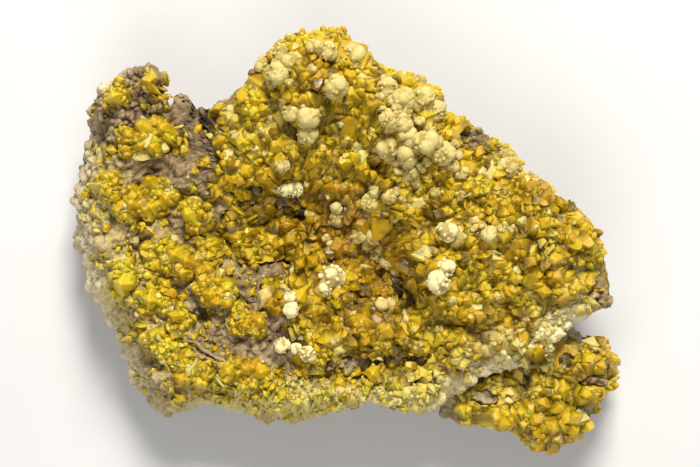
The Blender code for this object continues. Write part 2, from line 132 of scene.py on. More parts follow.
@dataclass(frozen=True)
class Patch:
    """A soft-edged oval on the crystal face, such as a rise, a dip or a stain."""

    name: str
    x: float
    y: float
    half_length: float
    half_width: float
    turn: float
    strength: float

    def weight(self, x: Array, y: Array) -> Array:
        """Its strength at points: a bell over the distances along and across the oval."""
        angle = math.radians(self.turn)
        along = (x - self.x) * math.cos(angle) + (y - self.y) * math.sin(angle)
        across = (y - self.y) * math.cos(angle) - (x - self.x) * math.sin(angle)
        bell = np.exp(-((along / self.half_length) ** 2) - (across / self.half_width) ** 2)
        return self.strength * bell


SLAB_FORMS = (
    Patch("west hollow", -37, 2, 40, 29, 0, -33),
    Patch("east hollow", 20, -16, 26, 17, -71, -27),
    Patch("bottom groove", 23, -74, 36, 10, 5, -10),
    Patch("dark pocket", -87, -45, 10, 8, 0, -14),
    Patch("crown", -25, 94, 42, 26, 10, 20),
    Patch("nodule ridge", 33, 70, 44, 19, -47, 22),
    Patch("right plateau", 104, 1, 56, 40, -40, 18),
    Patch("arete", 47, -14, 36, 10, -71, 14),
    Patch("lower right rim", 107, -64, 52, 13, 24, 12),
    Patch("bottom lip", 14, -94, 62, 9, 0, 8),
    Patch("left shoulder", -145, 7, 52, 20, 80, 10),
    Patch("upper left knob", -122, 58, 20, 16, 0, 8),
    Patch("left ledge", -72, 48, 26, 12, 30, 8),
)
LOBE_FORMS = (
    Patch("dark hole", 107, -84, 10, 9, 0, -11),
    Patch("east knob", 148, -73, 15, 10, 0, 7),
    Patch("south knob", 130, -109, 16, 11, 20, 7),
    Patch("grey saddle", 128, -72, 8, 7, 0, -4),
)
HORN_FORMS = (Patch("knob", -133, 94, 9, 7, 0, 3),)

# ---- where the face carries what ----

BARE_ROCK = (
    Patch("grey patch by the ridge", 76, 61, 9, 6, 0, 1.0),
    Patch("grey knob under the pair of nodules", -36, 21, 11, 7, -20, 1.0),
    Patch("brown ledge", -70, 22, 15, 7, 25, 0.9),
    Patch("beaded hollow", -50, -20, 14, 8, 0, 0.9),
    Patch("black pocket", -56, -30, 6, 7, 0, 1.0),
    Patch("hollow floor", 34, -30, 13, 7, -70, 0.8),
    Patch("bottom recess", 16, -74, 32, 8, 6, 0.7),
    Patch("right end", 156, -36, 9, 10, 0, 0.9),
    Patch("lobe knob", 131, -72, 7, 6, 10, 1.0),
    Patch("lobe east ledge", 152, -84, 12, 4, 0, 1.0),
    Patch("lobe slit", 109, -85, 3, 9, 0, 1.0),
    Patch("lobe west", 84, -96, 9, 5, 10, 0.8),
)
# Amber crystals, and painted shade: the shaded hollow, east floor and bottom recess patches push the
# crust towards amber where it lies deep in the hollows and the groove.
AMBER_AND_HOLLOW_SHADE = (
    Patch("large amber masses", 118, 28, 22, 13, -50, 0.35),
    Patch("amber block by the floor", -43, -37, 12, 9, 0, 0.3),
    Patch("shaded hollow", -8, 8, 42, 30, -50, 0.55),
    Patch("east floor", 26, -28, 16, 24, -20, 0.35),
    Patch("bottom recess", 16, -74, 34, 7, 6, 0.2),
    Patch("plateau middle", 100, -8, 20, 9, -20, 0.25),
    Patch("lower amber", -97, -79, 9, 9, 0, 0.25),
    Patch("lower block", -25, -77, 6, 6, 0, 0.3),
)
LEMON = (
    Patch("left powder", -134, -22, 14, 30, -10, 0.9),
    Patch("left bright", -144, 30, 12, 22, 0, 0.7),
    Patch("lower left powder", -120, -52, 16, 9, -50, 0.8),
    Patch("bottom lip powder", -34, -98, 64, 13, 2, 1.0),
    Patch("lower west", -110, -62, 14, 12, 0, 0.6),
    Patch("right lemon band", 146, -15, 12, 5, 0, 0.6),
    Patch("bottom middle", 40, -92, 34, 8, 6, 0.6),
)
# The rims' own pale rock; on the lower right rim it is laid on extra strong as painted light, where
# the rim faces away from the lamp.
PALE = (
    Patch("lower right rim", 112, -60, 56, 13, 24, 1.2),
    Patch("pale lump", 124, -67, 8, 9, 0, 1.0),
    Patch("top right edge", 108, 44, 12, 7, -45, 0.7),
    Patch("left rim line", -151, -32, 10, 52, 14, 0.9),
    Patch("left rim, upper", -156, 38, 8, 30, 0, 0.7),
    Patch("south west rim", -132, -78, 9, 26, 35, 0.6),
    Patch("bottom lip", 10, -99, 62, 6, 3, 0.9),
    Patch("ledge line", -80, -100, 26, 4, 0, 0.6),
    Patch("horn's upper edge", -146, 93, 16, 5, 38, 0.9),
    Patch("grey right end", 160, -32, 9, 12, 0, -1.3),
)
SULFUR_ON_ROCK = (
    Patch("horn side", -113, 84, 5, 12, 20, 0.9),
    Patch("horn front", -136, 86, 10, 6, 10, 0.7),
    Patch("upper left", -118, 58, 20, 9, 0, 0.8),
    Patch("left middle", -112, 22, 28, 13, 0, 0.7),
    Patch("west", -104, -16, 30, 16, 0, 0.6),
    Patch("south west", -100, -60, 30, 18, -20, 0.7),
    Patch("bottom", -50, -90, 60, 14, 0, 1.1),
    Patch("left edge", -150, 20, 8, 26, 0, 0.5),
    Patch("inner west", -78, -10, 16, 40, 0, 0.6),
    Patch("lower right rim", 112, -60, 56, 14, 24, 1.1),
    Patch("bottom lip", 14, -99, 62, 9, 3, 0.8),
)


# Hills of the crust that stand out: x, y, radius and height.
CRUST_HILLS = (
    (117, 26, 15, 11), (86, 20, 11, 9), (140, 4, 14, 11), (-58, 82, 12, 9), (-76, 74, 11, 9),
    (-44, -37, 11, 10), (-25, -77, 7, 8), (4, -20, 10, 9), (38, -50, 11, 8), (100, -25, 13, 9),
    (72, -40, 12, 8), (-3, 52, 12, 8), (-62, 40, 12, 9), (24, 14, 9, 7), (-20, -50, 10, 7),
)


def total_of(patches: tuple[Patch, ...], x: Array, y: Array) -> Array:
    """The sum of several patches at points."""
    return sum((patch.weight(x, y) for patch in patches), np.zeros_like(x, dtype=float))


# ---- noise ----


def paired(x: Array, y: Array) -> Array:
    """Places of the face, one row for each."""
    return np.stack([x, y], axis=1)


def hash_unit(cells: Array, seed: int) -> Array:
    """A number from 0 to 1 for each cell, from the stirred bits of its whole coordinates.

    Args:
        cells: whole numbers, one row of two or three for each cell.
        seed: another seed gives other numbers.
    Returns:
        One number for each row.
    """
    primes = np.array([0x8DA6B343, 0xD8163841, 0xCB1AB31F][: cells.shape[-1]], dtype=np.uint32)
    bits = np.bitwise_xor.reduce(cells.astype(np.int64).astype(np.uint32) * primes, axis=-1)
    bits = bits ^ np.uint32(seed * 0x9E3779B9 & 0xFFFFFFFF)
    for shift, factor in ((15, 0x2C1B3C6D), (12, 0x297A2D39), (15, 0x165667B1)):
        bits = (bits ^ (bits >> np.uint32(shift))) * np.uint32(factor)
    bits = bits ^ (bits >> np.uint32(16))
    return bits / float(2**32)


def smooth_noise(points: Array, size: float, seed: int) -> Array:
    """Noise from -1 to 1: random values on a lattice of the given size, blended smoothly."""
    scaled = points / size
    base = np.floor(scaled)
    part = scaled - base
    blend = part**3 * (part * (part * 6 - 15) + 10)
    total = np.zeros(len(points))
    for corner in product((0, 1), repeat=points.shape[1]):
        side = np.array(corner)
        weight = np.prod(np.where(side == 1, blend, 1 - blend), axis=1)
        total += weight * hash_unit(base + side, seed)
    return 2 * total - 1


def fractal(points: Array, size: float, octaves: int, seed: int) -> Array:
    """Layers of smooth noise, each half as large and half as strong as the one before."""
    layers = [smooth_noise(points, size / 2**n, seed + n) / 2**n for n in range(octaves)]
    return sum(layers)


def nearest_cells(points: Array, size: float, seed: int) -> tuple[Array, Array, Array]:
    """Distances to the nearest and second nearest of one random point per cell.

    Args:
        points: rows of two or three coordinates.
        size: edge length of a cell.
        seed: another seed gives other points.
    Returns:
        The two distances, in cells, and a random number of the nearest point.
    """
    scaled = points / size
    base = np.floor(scaled)
    first = np.full(len(points), 9.0)
    second = np.full(len(points), 9.0)
    name = np.zeros(len(points))
    for offset in product((-1, 0, 1), repeat=points.shape[1]):
        cell = base + np.array(offset)
        spot = np.stack([hash_unit(cell, seed + k) for k in range(points.shape[1])], axis=1)
        distance = np.linalg.norm(cell + spot - scaled, axis=1)
        closer = distance < first
        second = np.where(closer, first, np.minimum(second, distance))
        name = np.where(closer, hash_unit(cell, seed + 7), name)
        first = np.where(closer, distance, first)
    return first, second, name


def bare_at(x: Array, y: Array) -> Array:
    """How bare of crystals the rock is, 0 to 1: the patches with ragged outlines."""
    ragged = fractal(paired(x, y), 9, 3, 131)
    return np.clip((total_of(BARE_ROCK, x, y) * 1.5 - 0.62 + 0.5 * ragged) * 7, 0, 1)


# ---- surfaces ----


@dataclass
class Surface:
    """Triangles in millimetres, with a number for each point under each attribute's name."""

    points: Array
    faces: Array
    marks: dict[str, Array] = field(default_factory=dict)
    soft: Array | None = None

    def softness(self) -> Array:
        """Which triangles are shaded as one curved skin: none, where nothing is said."""
        return np.zeros(len(self.faces), dtype=bool) if self.soft is None else self.soft

    def normals(self) -> Array:
        """Unit normals at the points: the sum of the cross products of the triangles' sides."""
        corners = self.points[self.faces]
        across = np.cross(corners[:, 1] - corners[:, 0], corners[:, 2] - corners[:, 0])
        total = np.zeros_like(self.points)
        for corner in range(3):
            np.add.at(total, self.faces[:, corner], across)
        return total / np.maximum(np.linalg.norm(total, axis=1, keepdims=True), 1e-9)

    def face_outwards(self) -> None:
        """Turns all triangles round if the signed volume, a sum of triple products, is negative."""
        corners = self.points[self.faces]
        volume = np.einsum("ij,ij->", corners[:, 0], np.cross(corners[:, 1], corners[:, 2]))
        if volume < 0:
            self.faces = self.faces[:, ::-1].copy()


def joined(surfaces: list[Surface]) -> Surface:
    """Several surfaces in one, with every mark that any of them has."""
    offsets = np.cumsum([0] + [len(s.points) for s in surfaces[:-1]])
    names = {name for s in surfaces for name in s.marks}
    marks = {
        name: np.concatenate([s.marks.get(name, np.zeros(len(s.points))) for s in surfaces])
        for name in sorted(names)
    }
    points = np.concatenate([s.points for s in surfaces])
    faces = np.concatenate([s.faces + offset for s, offset in zip(surfaces, offsets)])
    return Surface(points, faces, marks, np.concatenate([s.softness() for s in surfaces]))


def grid_triangles(rows: int, columns: int, wraps: bool = False) -> Array:
    """Two triangles for each cell of a grid of points, whose columns may close on themselves."""
    row, column = np.meshgrid(np.arange(rows - 1), np.arange(columns - (not wraps)), indexing="ij")
    after = (column + 1) % columns
    a = row * columns + column
    b = row * columns + after
    c = (row + 1) * columns + after
    d = (row + 1) * columns + column
    return np.concatenate([np.stack([a, b, c], -1), np.stack([a, c, d], -1)]).reshape(-1, 3)


@dataclass(frozen=True)
class Disc:
    """Points of a bent grid on the unit disc: radius, bearing, outer points in order, triangles."""

    share: Array
    bearing: Array
    border: Array
    faces: Array


def disc_grid(cells: int, lean: float = 0.0, rows: slice = slice(None)) -> Disc:
    """A square grid of points bent onto the unit disc so that its outer line is the circle.

    Along the wider coordinate a square's ring keeps its size, which becomes the radius, and
    the ratio of the two coordinates becomes an eighth of a turn.

    Args:
        cells: cells along one side of the square.
        lean: above 0 the columns crowd to the left, as u + lean (u^2 - 1), below 0 to the right.
        rows: the rows of points that are wanted, from the lowest.
    Returns:
        The disc, or those rows of it.
    """
    line = np.linspace(-1, 1, cells + 1)
    across, up = np.meshgrid(line + lean * (line**2 - 1), line[rows], indexing="xy")
    wide = np.abs(across) > np.abs(up)
    longer = np.where(wide, across, up)
    shorter = np.where(wide, up, across)
    eighth = math.pi / 4 * shorter / np.where(longer == 0, 1, longer)
    x = longer * np.where(wide, np.cos(eighth), np.sin(eighth))
    y = longer * np.where(wide, np.sin(eighth), np.cos(eighth))
    number = np.arange(across.size).reshape(across.shape)
    border = np.concatenate([number[0, :-1], number[:-1, -1], number[-1, :0:-1], number[:0:-1, 0]])
    faces = grid_triangles(*across.shape)
    return Disc(np.hypot(x, y).ravel(), np.arctan2(y, x).ravel(), border, faces)


def crust_reach(reach: Array) -> Array:
    """How far out the crystals go: over the shoulder wherever the crust comes near the edge."""
    near = np.clip((reach - EDGE_REACH) / EDGE_RAMP, 0, 1)
    return reach + (1.0 - reach) * near


@dataclass(frozen=True)
class RockMass:
    """One lump of the rock: its widest line, its middle, and how it is closed below."""

    edge: tuple[tuple[float, float, float, float], ...]
    heart: tuple[float, float]
    level: float
    forms: tuple[Patch, ...]
    foot_level: float
    crust_spread: float = 1.0

    def edge_at(self, bearing: Array) -> tuple[Array, Array, Array]:
        """Radius, rim height and crust reach at bearings from the heart.

        Each straight stretch of the edge is cut into eight, and the bearing's values are
        read between the two nearest of these points.
        """
        rows = np.array(self.edge, dtype=float)
        after = np.roll(rows, -1, axis=0)
        cuts = np.arange(EDGE_CUTS)[:, None, None] / EDGE_CUTS
        dense = (rows + (after - rows) * cuts).reshape(-1, 4)
        x = dense[:, 0] - self.heart[0]
        y = dense[:, 1] - self.heart[1]
        turns = np.arctan2(y, x)
        order = np.argsort(turns)
        turns = turns[order]
        values = (np.hypot(x, y)[order], dense[order, 2], dense[order, 3] * self.crust_spread)
        return tuple(np.interp(bearing, turns, value, period=math.tau) for value in values)

    def share_at(self, x: Array, y: Array) -> tuple[Array, Array, Array]:
        """How far from the heart to the edge points lie, with the rim height and reach there."""
        from_x = x - self.heart[0]
        from_y = y - self.heart[1]
        radius, rim, reach = self.edge_at(np.arctan2(from_y, from_x))
        return np.hypot(from_x, from_y) / radius, rim, reach

    def front_height(self, x: Array, y: Array) -> Array:
        """Height of the front: level, lumps and forms, turned down to the rim at the shoulder."""
        broad = np.sin(x / 11 + 1.7 * np.sin(y / 17)) * np.sin(y / 13 + 1.3 * np.sin(x / 19))
        fine = np.sin(x / 5.3 + 2 * np.sin(y / 9)) * np.sin(y / 5.9 + 2 * np.sin(x / 8))
        face = self.level + LUMP_HEIGHT * broad + SMALL_LUMP_HEIGHT * fine + total_of(self.forms, x, y)
        share, rim, _ = self.share_at(x, y)
        past = np.clip((share - SHOULDER_START) / (1 - SHOULDER_START), 0, 1)
        return rim + (face - rim) * (1 - past**SHOULDER_POWER)


SLAB = RockMass(SLAB_EDGE, (-4, 1), 60, SLAB_FORMS, 0)
LOBE = RockMass(LOBE_EDGE, (118, -84), 44, LOBE_FORMS, 4, 1.1)
HORN = RockMass(HORN_EDGE, (-128, 84), 68, HORN_FORMS, 18)


# ---- the host rock ----


@dataclass(frozen=True)
class HostRock:
    """The broken rock: slab, lobe and horn, each one closed surface, in one piece."""

    side_rings: int = 20
    knob_size: float = 14.0
    knob_height: float = 3.4
    bead_size: float = 4.6
    bead_height: float = 3.0
    grain_size: float = 2.4
    grain_height: float = 1.3
    sway_size: float = 4.5
    sway: float = 1.6
    fracture_size: float = 26.0
    fracture_depth: float = 5.0
    crust_sink: float = 2.5
    rim_sink: float = 3.0
    foot_fade: float = 5.0
    bare_rise: float = 5.0
    lobe_bare_rise: float = 12.0

    def closed_mass(self, mass: RockMass, cells: int, lean: float) -> Surface:
        """The smooth surface of one mass.

        The front is a disc grid stretched to the edge line.  The side goes from the edge to
        the foot: its share of the way from the heart falls by 0.28 times the way down to the
        power 1.7, and its height falls with the way down to the power 1.2.  A fan closes it.

        Args:
            mass: the rock mass.
            cells: cells along one side of its front grid.
            lean: how far its columns crowd to the left.
        Returns:
            The surface, with its share and side marks.
        """
        disc = disc_grid(cells, lean)
        share, bearing, border = disc.share, disc.bearing, disc.border
        radius, _, reach = mass.edge_at(bearing)
        x = mass.heart[0] + share * radius * np.cos(bearing)
        y = mass.heart[1] + share * radius * np.sin(bearing)
        front = np.stack([x, y, mass.front_height(x, y)], axis=1)
        down = np.arange(1, self.side_rings + 1)[:, None] / self.side_rings
        radius, rim, _ = mass.edge_at(bearing[border])
        side_share = 1 - (1 - FOOT_SHARE) * down**SIDE_POWER
        side = np.stack(
            [
                mass.heart[0] + side_share * radius * np.cos(bearing[border]),
                mass.heart[1] + side_share * radius * np.sin(bearing[border]),
                mass.foot_level + (rim - mass.foot_level) * (1 - down**DROP_POWER),
            ],
            axis=-1,
        ).reshape(-1, 3)
        middle = np.array([[*mass.heart, mass.foot_level]], dtype=float)
        points = np.concatenate([front, side, middle])
        band = np.concatenate([border, len(front) + np.arange(len(side))])
        walls = band[grid_triangles(self.side_rings + 1, len(border), wraps=True)]
        last = band[-len(border):]
        fan = np.stack([last, np.roll(last, -1), np.full(len(last), len(points) - 1)], axis=1)
        faces = np.concatenate([disc.faces, walls[:, ::-1], fan[:, ::-1]])
        beyond = np.concatenate([np.zeros(len(front)), np.repeat(down.ravel(), len(border)), [1.0]])
        marks = {
            "share": np.concatenate([share, np.ones(len(side) + 1)]),
            "beyond": beyond,
            "reach": np.concatenate([reach, np.tile(reach[border], self.side_rings), [0.0]]),
        }
        surface = Surface(points, faces, marks)
        surface.face_outwards()
        return surface

    def relief(self, points: Array, side: Array) -> tuple[Array, Array]:
        """How far the broken surface stands out at points, and how deep they lie between beads.

        Knobs are fractal noise.  Beads and grains are domes, the root of one less the squared
        distance to the nearest of scattered points.  On the sides each fracture cell is a step
        of its own height, and the beads are lower.

        Args:
            points: places on the smooth surface.
            side: 0 on the crystal face and 1 on the broken sides.
        Returns:
            The rise in millimetres, and a number from 0 in a crease to 1 on a bead, which paints shade
            into the creases and light onto the bead tops.
        """
        knobs = fractal(points, self.knob_size, 4, 11)
        sway = [smooth_noise(points, self.sway_size, 51 + k) for k in range(3)]
        bent = points + self.sway * np.stack(sway, axis=1)
        near, _, name = nearest_cells(bent, self.bead_size, 21)
        fine, _, _ = nearest_cells(bent, self.grain_size, 31)
        beads = np.sqrt(np.clip(1 - (near / 0.72) ** 2, 0, 1))
        grains = np.sqrt(np.clip(1 - (fine / 0.7) ** 2, 0, 1))
        block, wall, size = nearest_cells(points + knobs[:, None] * 3, self.fracture_size, 41)
        step = (size - 0.5) * self.fracture_depth * np.clip((wall - block) * 5, 0.2, 1) * side
        rise = knobs * self.knob_height * (1 - 0.3 * side) + step
        rise += (beads * (0.5 + name) - 0.6) * self.bead_height * (1 - 0.65 * side)
        rise += (grains - 0.6) * self.grain_height * (1 - 0.4 * side)
        # Painted light and shade: this mark is low in the creases and high on the beads, and the
        # finish turns it from near-black to tan.
        pit = np.clip(0.02 + 0.5 * beads * (0.6 + 0.8 * name) + 0.3 * grains + 0.22 * knobs, 0, 1)
        return rise, pit

    def hump(self, mass: RockMass, share: Array, x: Array, y: Array) -> Array:
        """How far the bare places rise between the crystals; it fades out towards the edge."""
        rise = self.lobe_bare_rise if mass is LOBE else self.bare_rise
        return rise * bare_at(x, y) * np.clip((0.95 - share) / 0.07, 0, 1)

    def skin_height(self, mass: RockMass, x: Array, y: Array) -> Array:
        """Height of the broken front: the smooth one plus its relief and humps."""
        smooth = mass.front_height(x, y)
        share, _, _ = mass.share_at(x, y)
        rise, _ = self.relief(np.stack([x, y, smooth], axis=1), np.zeros_like(x))
        return smooth + rise + self.hump(mass, share, x, y)

    def roughened(self, surface: Surface, mass: RockMass) -> Surface:
        """The broken surface: points move along their normals by the relief.

        It fades to nothing at the foot, so that the base stays flat.  Humps rise upwards.
        """
        points = surface.points
        side = np.clip(surface.marks["beyond"] * 6 + (surface.marks["share"] - 0.98) * 12, 0, 1)
        rise, pit = self.relief(points, side)
        front = 1 - np.clip(surface.marks["beyond"] * 5, 0, 1)
        share, reach = surface.marks["share"], surface.marks["reach"]
        crusted = np.clip((crust_reach(reach) - share) / EDGE_RAMP, 0, 1) * front
        open_rock = 1 - bare_at(points[:, 0], points[:, 1])
        crusted *= open_rock
        near_rim = np.clip((share - 0.9) * 10, 0, 1) * (reach > 0.9)
        near_rim *= (1 - np.clip(surface.marks["beyond"] * 6, 0, 1)) * open_rock
        rise = rise * (1 - crusted) * (1 - 0.8 * near_rim)
        rise = rise - self.crust_sink * crusted - self.rim_sink * near_rim
        fade = np.clip((points[:, 2] - mass.foot_level) / self.foot_fade, 0, 1)
        moved = points + surface.normals() * (rise * fade)[:, None]
        x, y = points[:, 0], points[:, 1]
        moved[:, 2] += self.hump(mass, share, x, y) * front
        moved[:, 2] = np.maximum(moved[:, 2], mass.foot_level)
        powder = total_of(LEMON, x, y) + 0.35 * total_of(SULFUR_ON_ROCK, x, y)
        # The first mark paints shade into the creases and light onto the bead tops; the pale mark is
        # the rims' own pale, laid on extra strong as painted light on the lower right rim.
        marks = {
            "pit": pit,
            "powder": np.clip(powder, 0, 1) * front,
            "pale": np.clip(total_of(PALE, x, y), 0, 1) * np.clip(front + 0.25, 0, 1),
            "stain": np.clip((reach - 0.9) * 25, 0, 1) * front * open_rock,
        }
        return Surface(moved, surface.faces, marks, np.ones(len(surface.faces), dtype=bool))

    def build(self) -> dict[str, Surface]:
        """Slab, lobe and horn, roughened, under the names of their pieces."""
        return {
            "host_rock": self.roughened(self.closed_mass(SLAB, 272, 0.14), SLAB),
            "host_rock_lobe": self.roughened(self.closed_mass(LOBE, 110, 0), LOBE),
            "host_rock_horn": self.roughened(self.closed_mass(HORN, 96, 0), HORN),
        }


# ---- crystals ----


class Habit(Enum):
    """Forms that the sulfur crystals take."""

    PYRAMID = "pyramid"
    BLOCK = "block"
    TABLET = "tablet"


RHOMB = (1.23, 1.0)
FACE_RISES = (0.42, 0.12, 1.3)
SAME_PLANE = 1e-4


@dataclass(frozen=True)
class CrystalForm:
    """One crystal shape cut out by planes: a long rhombic pyramid with its corners cut off."""

    habit: Habit
    variant: int

    def planes(self) -> tuple[Array, Array]:
        """Outward directions of its faces and their distances from its middle.

        The steep faces point along (1/a, 1/b, 1/c) for the axes 0.81, 1 and 2.4 and the
        blunt ones have a third of that c.  Walls, a slanted end and bevels cut the corners.
        """
        dice = np.random.default_rng(100 * self.variant + len(self.habit.value))
        signs = np.array(list(product((-1, 1), repeat=2)), dtype=float)
        steep, walls, blunt = (
            np.column_stack([signs * RHOMB, np.full(4, rise)]) for rise in FACE_RISES
        )
        bevels = np.array([[0, 1.0, 0.8], [0, -1.0, 0.8]])
        end = np.array([[dice.uniform(-0.35, 0.35), dice.uniform(-0.35, 0.35), 1.0]])
        foot = np.array([[0, 0, -1.0]])
        if self.habit is Habit.PYRAMID:
            sides, caps = steep, blunt
            side_reach = dice.uniform(0.8, 1.0, 4)
            cap_reach, length = dice.uniform(1.05, 1.3, 4), 1.65
        elif self.habit is Habit.BLOCK:
            sides, caps = walls, np.concatenate([bevels, blunt[:2]])
            side_reach = dice.uniform(0.75, 0.95, 4)
            cap_reach, length = dice.uniform(1.0, 1.25, 4), 1.25
        else:
            sides = np.concatenate([np.array([[0, 1.0, 0.1], [0, -1.0, 0.1]]), steep])
            side_reach = np.concatenate([np.full(2, 0.34), dice.uniform(0.8, 1.0, 4)])
            caps, cap_reach, length = blunt[:2], dice.uniform(1.0, 1.3, 2), 1.5
        directions = np.concatenate([sides, caps, end, foot])
        reach = np.concatenate([side_reach, cap_reach, [length], [0.7]])
        directions[:-1] += dice.normal(0, 0.05, (len(directions) - 1, 3))
        return directions / np.linalg.norm(directions, axis=1, keepdims=True), reach

    def build(self) -> Surface:
        """Its corners are where three planes meet inside all others; each face is a fan of them."""
        normals, reach = self.planes()
        corners = []
        for three in combinations(range(len(reach)), 3):
            rows = normals[list(three)]
            if abs(np.linalg.det(rows)) < 1e-3:
                continue
            corner = np.linalg.solve(rows, reach[list(three)])
            if np.all(normals @ corner <= reach + 1e-7):
                corners.append(corner)
        corners = np.unique(np.round(corners, 6), axis=0)
        faces = []
        for normal, distance in zip(normals, reach):
            on = np.flatnonzero(np.abs(corners @ normal - distance) < SAME_PLANE)
            if len(on) < 3:
                continue
            first = corners[on[0]] - corners[on].mean(0)
            first /= np.linalg.norm(first)
            offsets = corners[on] - corners[on].mean(0)
            turns = np.arctan2(offsets @ np.cross(normal, first), offsets @ first)
            ring = on[np.argsort(turns)]
            faces += [(ring[0], ring[k], ring[k + 1]) for k in range(1, len(ring) - 1)]
        return Surface(corners, np.array(faces))


def crystal_forms(habits: tuple[Habit, ...], variants: int = 6) -> list[Surface]:
    """The shapes of several habits, some variants of each."""
    return [CrystalForm(habit, number).build() for habit in habits for number in range(variants)]


COARSE_FORMS = (Habit.PYRAMID, Habit.BLOCK)
MIXED_FORMS = (Habit.PYRAMID, Habit.BLOCK, Habit.TABLET)


@dataclass
class Seeds:
    """Places where crystals stand: the way each points, its turn, half width and colour marks."""

    feet: Array
    leans: Array
    turns: Array
    sizes: Array
    tones: Array
    milk: Array
    shade: Array

    def with_twins(self, twins: int, dice: Dice) -> Seeds:
        """Each seed with smaller neighbours that grew into it, nearly parallel to it."""
        count = len(self.sizes) * twins
        old = [np.repeat(getattr(self, one.name), twins, axis=0) for one in fields(self)]
        feet, leans, turns, sizes, tones, milk, shade = old
        feet = feet + dice.normal(0, 0.6, (count, 3)) * sizes[:, None]
        leans = leans + dice.normal(0, 0.16, (count, 3))
        turns = turns + dice.normal(0, 0.15, count)
        sizes = sizes * dice.uniform(0.5, 0.9, count)
        tones = tones + dice.normal(0, 0.03, count)
        new = (feet, leans, turns, sizes, tones, milk, shade)
        pairs = zip(fields(self), new)
        return Seeds(*(np.concatenate([getattr(self, one.name), more]) for one, more in pairs))


def grown(seeds: Seeds, forms: list[Surface], dice: Dice) -> Surface:
    """One crystal on each seed, all in one surface.

    A crystal is its form's points times its size, turned so that its long axis points along
    its lean, turned about that axis, and moved to its foot.

    Args:
        seeds: where the crystals stand.
        forms: the shapes to choose from.
        dice: the random numbers.
    Returns:
        The surface, with tone, milk and depth marks.
    """
    count = len(seeds.sizes)
    choice = dice.integers(0, len(forms), count)
    upright = seeds.leans / np.linalg.norm(seeds.leans, axis=1, keepdims=True)
    side = np.cross(upright, (0.0, 1.0, 0.12))
    side /= np.maximum(np.linalg.norm(side, axis=1, keepdims=True), 1e-6)
    other = np.cross(upright, side)
    across = side * np.cos(seeds.turns)[:, None] + other * np.sin(seeds.turns)[:, None]
    along = np.cross(upright, across)
    squeeze = dice.uniform(0.75, 1.25, (count, 3))
    scale = squeeze * seeds.sizes[:, None]
    basis = np.stack([across, along, upright], axis=1) * scale[:, :, None]
    parts = []
    for number, form in enumerate(forms):
        picked = np.flatnonzero(choice == number)
        if not len(picked):
            continue
        points = np.einsum("pk,nkj->npj", form.points, basis[picked]) + seeds.feet[picked, None]
        step = np.arange(len(picked))[:, None, None] * len(form.points)
        faces = (form.faces[None] + step).reshape(-1, 3)
        low, high = form.points[:, 2].min(), form.points[:, 2].max()
        # Painted shade: the depth mark runs from 0 at the foot to 1 at the tip and is cut down on
        # crystals in a hill's shade; the finish darkens low values.
        depth = (form.points[:, 2] - low) / (high - low) * (1 - 0.75 * seeds.shade[picked])[:, None]
        marks = {
            "tone": np.repeat(seeds.tones[picked], len(form.points)),
            "milk": np.repeat(seeds.milk[picked], len(form.points)),
            "depth": depth.ravel(),
        }
        parts.append(Surface(points.reshape(-1, 3), faces, marks))
    return joined(parts)


@dataclass(frozen=True)
class Hills:
    """Rounded rises that crystals grow out of: middles, radii and heights, an array of each."""

    x: Array
    y: Array
    radius: Array
    height: Array

    def at(self, x: Array, y: Array) -> tuple[Array, Array, Array]:
        """The rise at points, and how far out on the highest hill there they are.

        Each hill is half an ellipsoid: its height times the root of one less the squared
        distance in radii.

        Args:
            x: places across the face.
            y: places up the face.
        Returns:
            The rise, and the way from that hill's middle along x and y, in its radii.
        """
        across = (x[:, None] - self.x) / self.radius
        up = (y[:, None] - self.y) / self.radius
        squared = across**2 + up**2
        rises = self.height * np.sqrt(np.clip(1 - squared, 0, 1))
        owner = (rises - 0.001 * squared).argmax(1)
        row = np.arange(len(x))
        return rises[row, owner], across[row, owner], up[row, owner]


def own_shares(bunch: Array) -> tuple[Array, Array, Array]:
    """Three numbers from -0.5 to 0.5 that follow from a bunch's own number."""
    return tuple((bunch * factor) % 1 - 0.5 for factor in (7919, 104729, 541))


def bunched_seeds(
    x: Array,
    y: Array,
    top: Array,
    out: tuple[Array, Array],
    sizes: tuple[float, float],
    dice: Dice,
    spill: tuple[Array, Array] | None = None,
) -> Seeds:
    """Crystals at points on hills, in bunches that are nearly parallel.

    A crystal leans away from its hill's middle, more with its distance in radii.  Bunches are
    the cells of a mosaic, and a bunch's own number gives its turn and part of its lean and
    tone.  Crystals far out on a hill are smaller and lie in its shade.

    Args:
        x: places across the face.
        y: places up the face.
        top: height of the ground there.
        out: the way from the hill's middle along x and y, in radii.
        sizes: smallest and largest half width.
        dice: the random numbers.
        spill: a further lean along x and y, where crystals grow over an edge.
    Returns:
        The seeds.
    """
    count = len(x)
    _, _, bunch = nearest_cells(paired(x, y), BUNCH_SIZE, 97)
    own_x, own_y, own_tone = own_shares(bunch)
    distance = np.clip(np.hypot(*out), 0, 1.2)
    lean = np.stack([out[0], out[1], 1.2 - 0.7 * distance], axis=1)
    lean[:, :2] += 0.9 * np.stack([own_x, own_y], axis=1)
    if spill is not None:
        lean[:, :2] += np.stack(spill, axis=1)
    lean += dice.normal(0, 0.13, lean.shape)
    lean /= np.linalg.norm(lean, axis=1, keepdims=True)
    half = sizes[0] + (sizes[1] - sizes[0]) * dice.random(count) ** 1.5
    half *= 1.12 - 0.35 * distance
    feet = np.stack([x, y, top], axis=1) + lean * (half * dice.uniform(-0.8, 0.0, count))[:, None]
    turns = bunch * 37 % 1 * math.tau + dice.normal(0, 0.16, count)
    tones = tone_at(x, y) + 0.24 * own_tone + dice.normal(0, 0.05, count)
    milk = milk_at(x, y, dice.random(count))
    # Painted shade: this mark darkens the crystals far out on a hill.
    shade = np.clip(distance, 0, 1) ** 2.5
    return Seeds(feet, lean, turns, half, np.clip(tones, 0, 1), milk, shade)


@dataclass(frozen=True)
class Ball:
    """One round nodule: its middle on the face and its radius."""

    x: float
    y: float
    radius: float


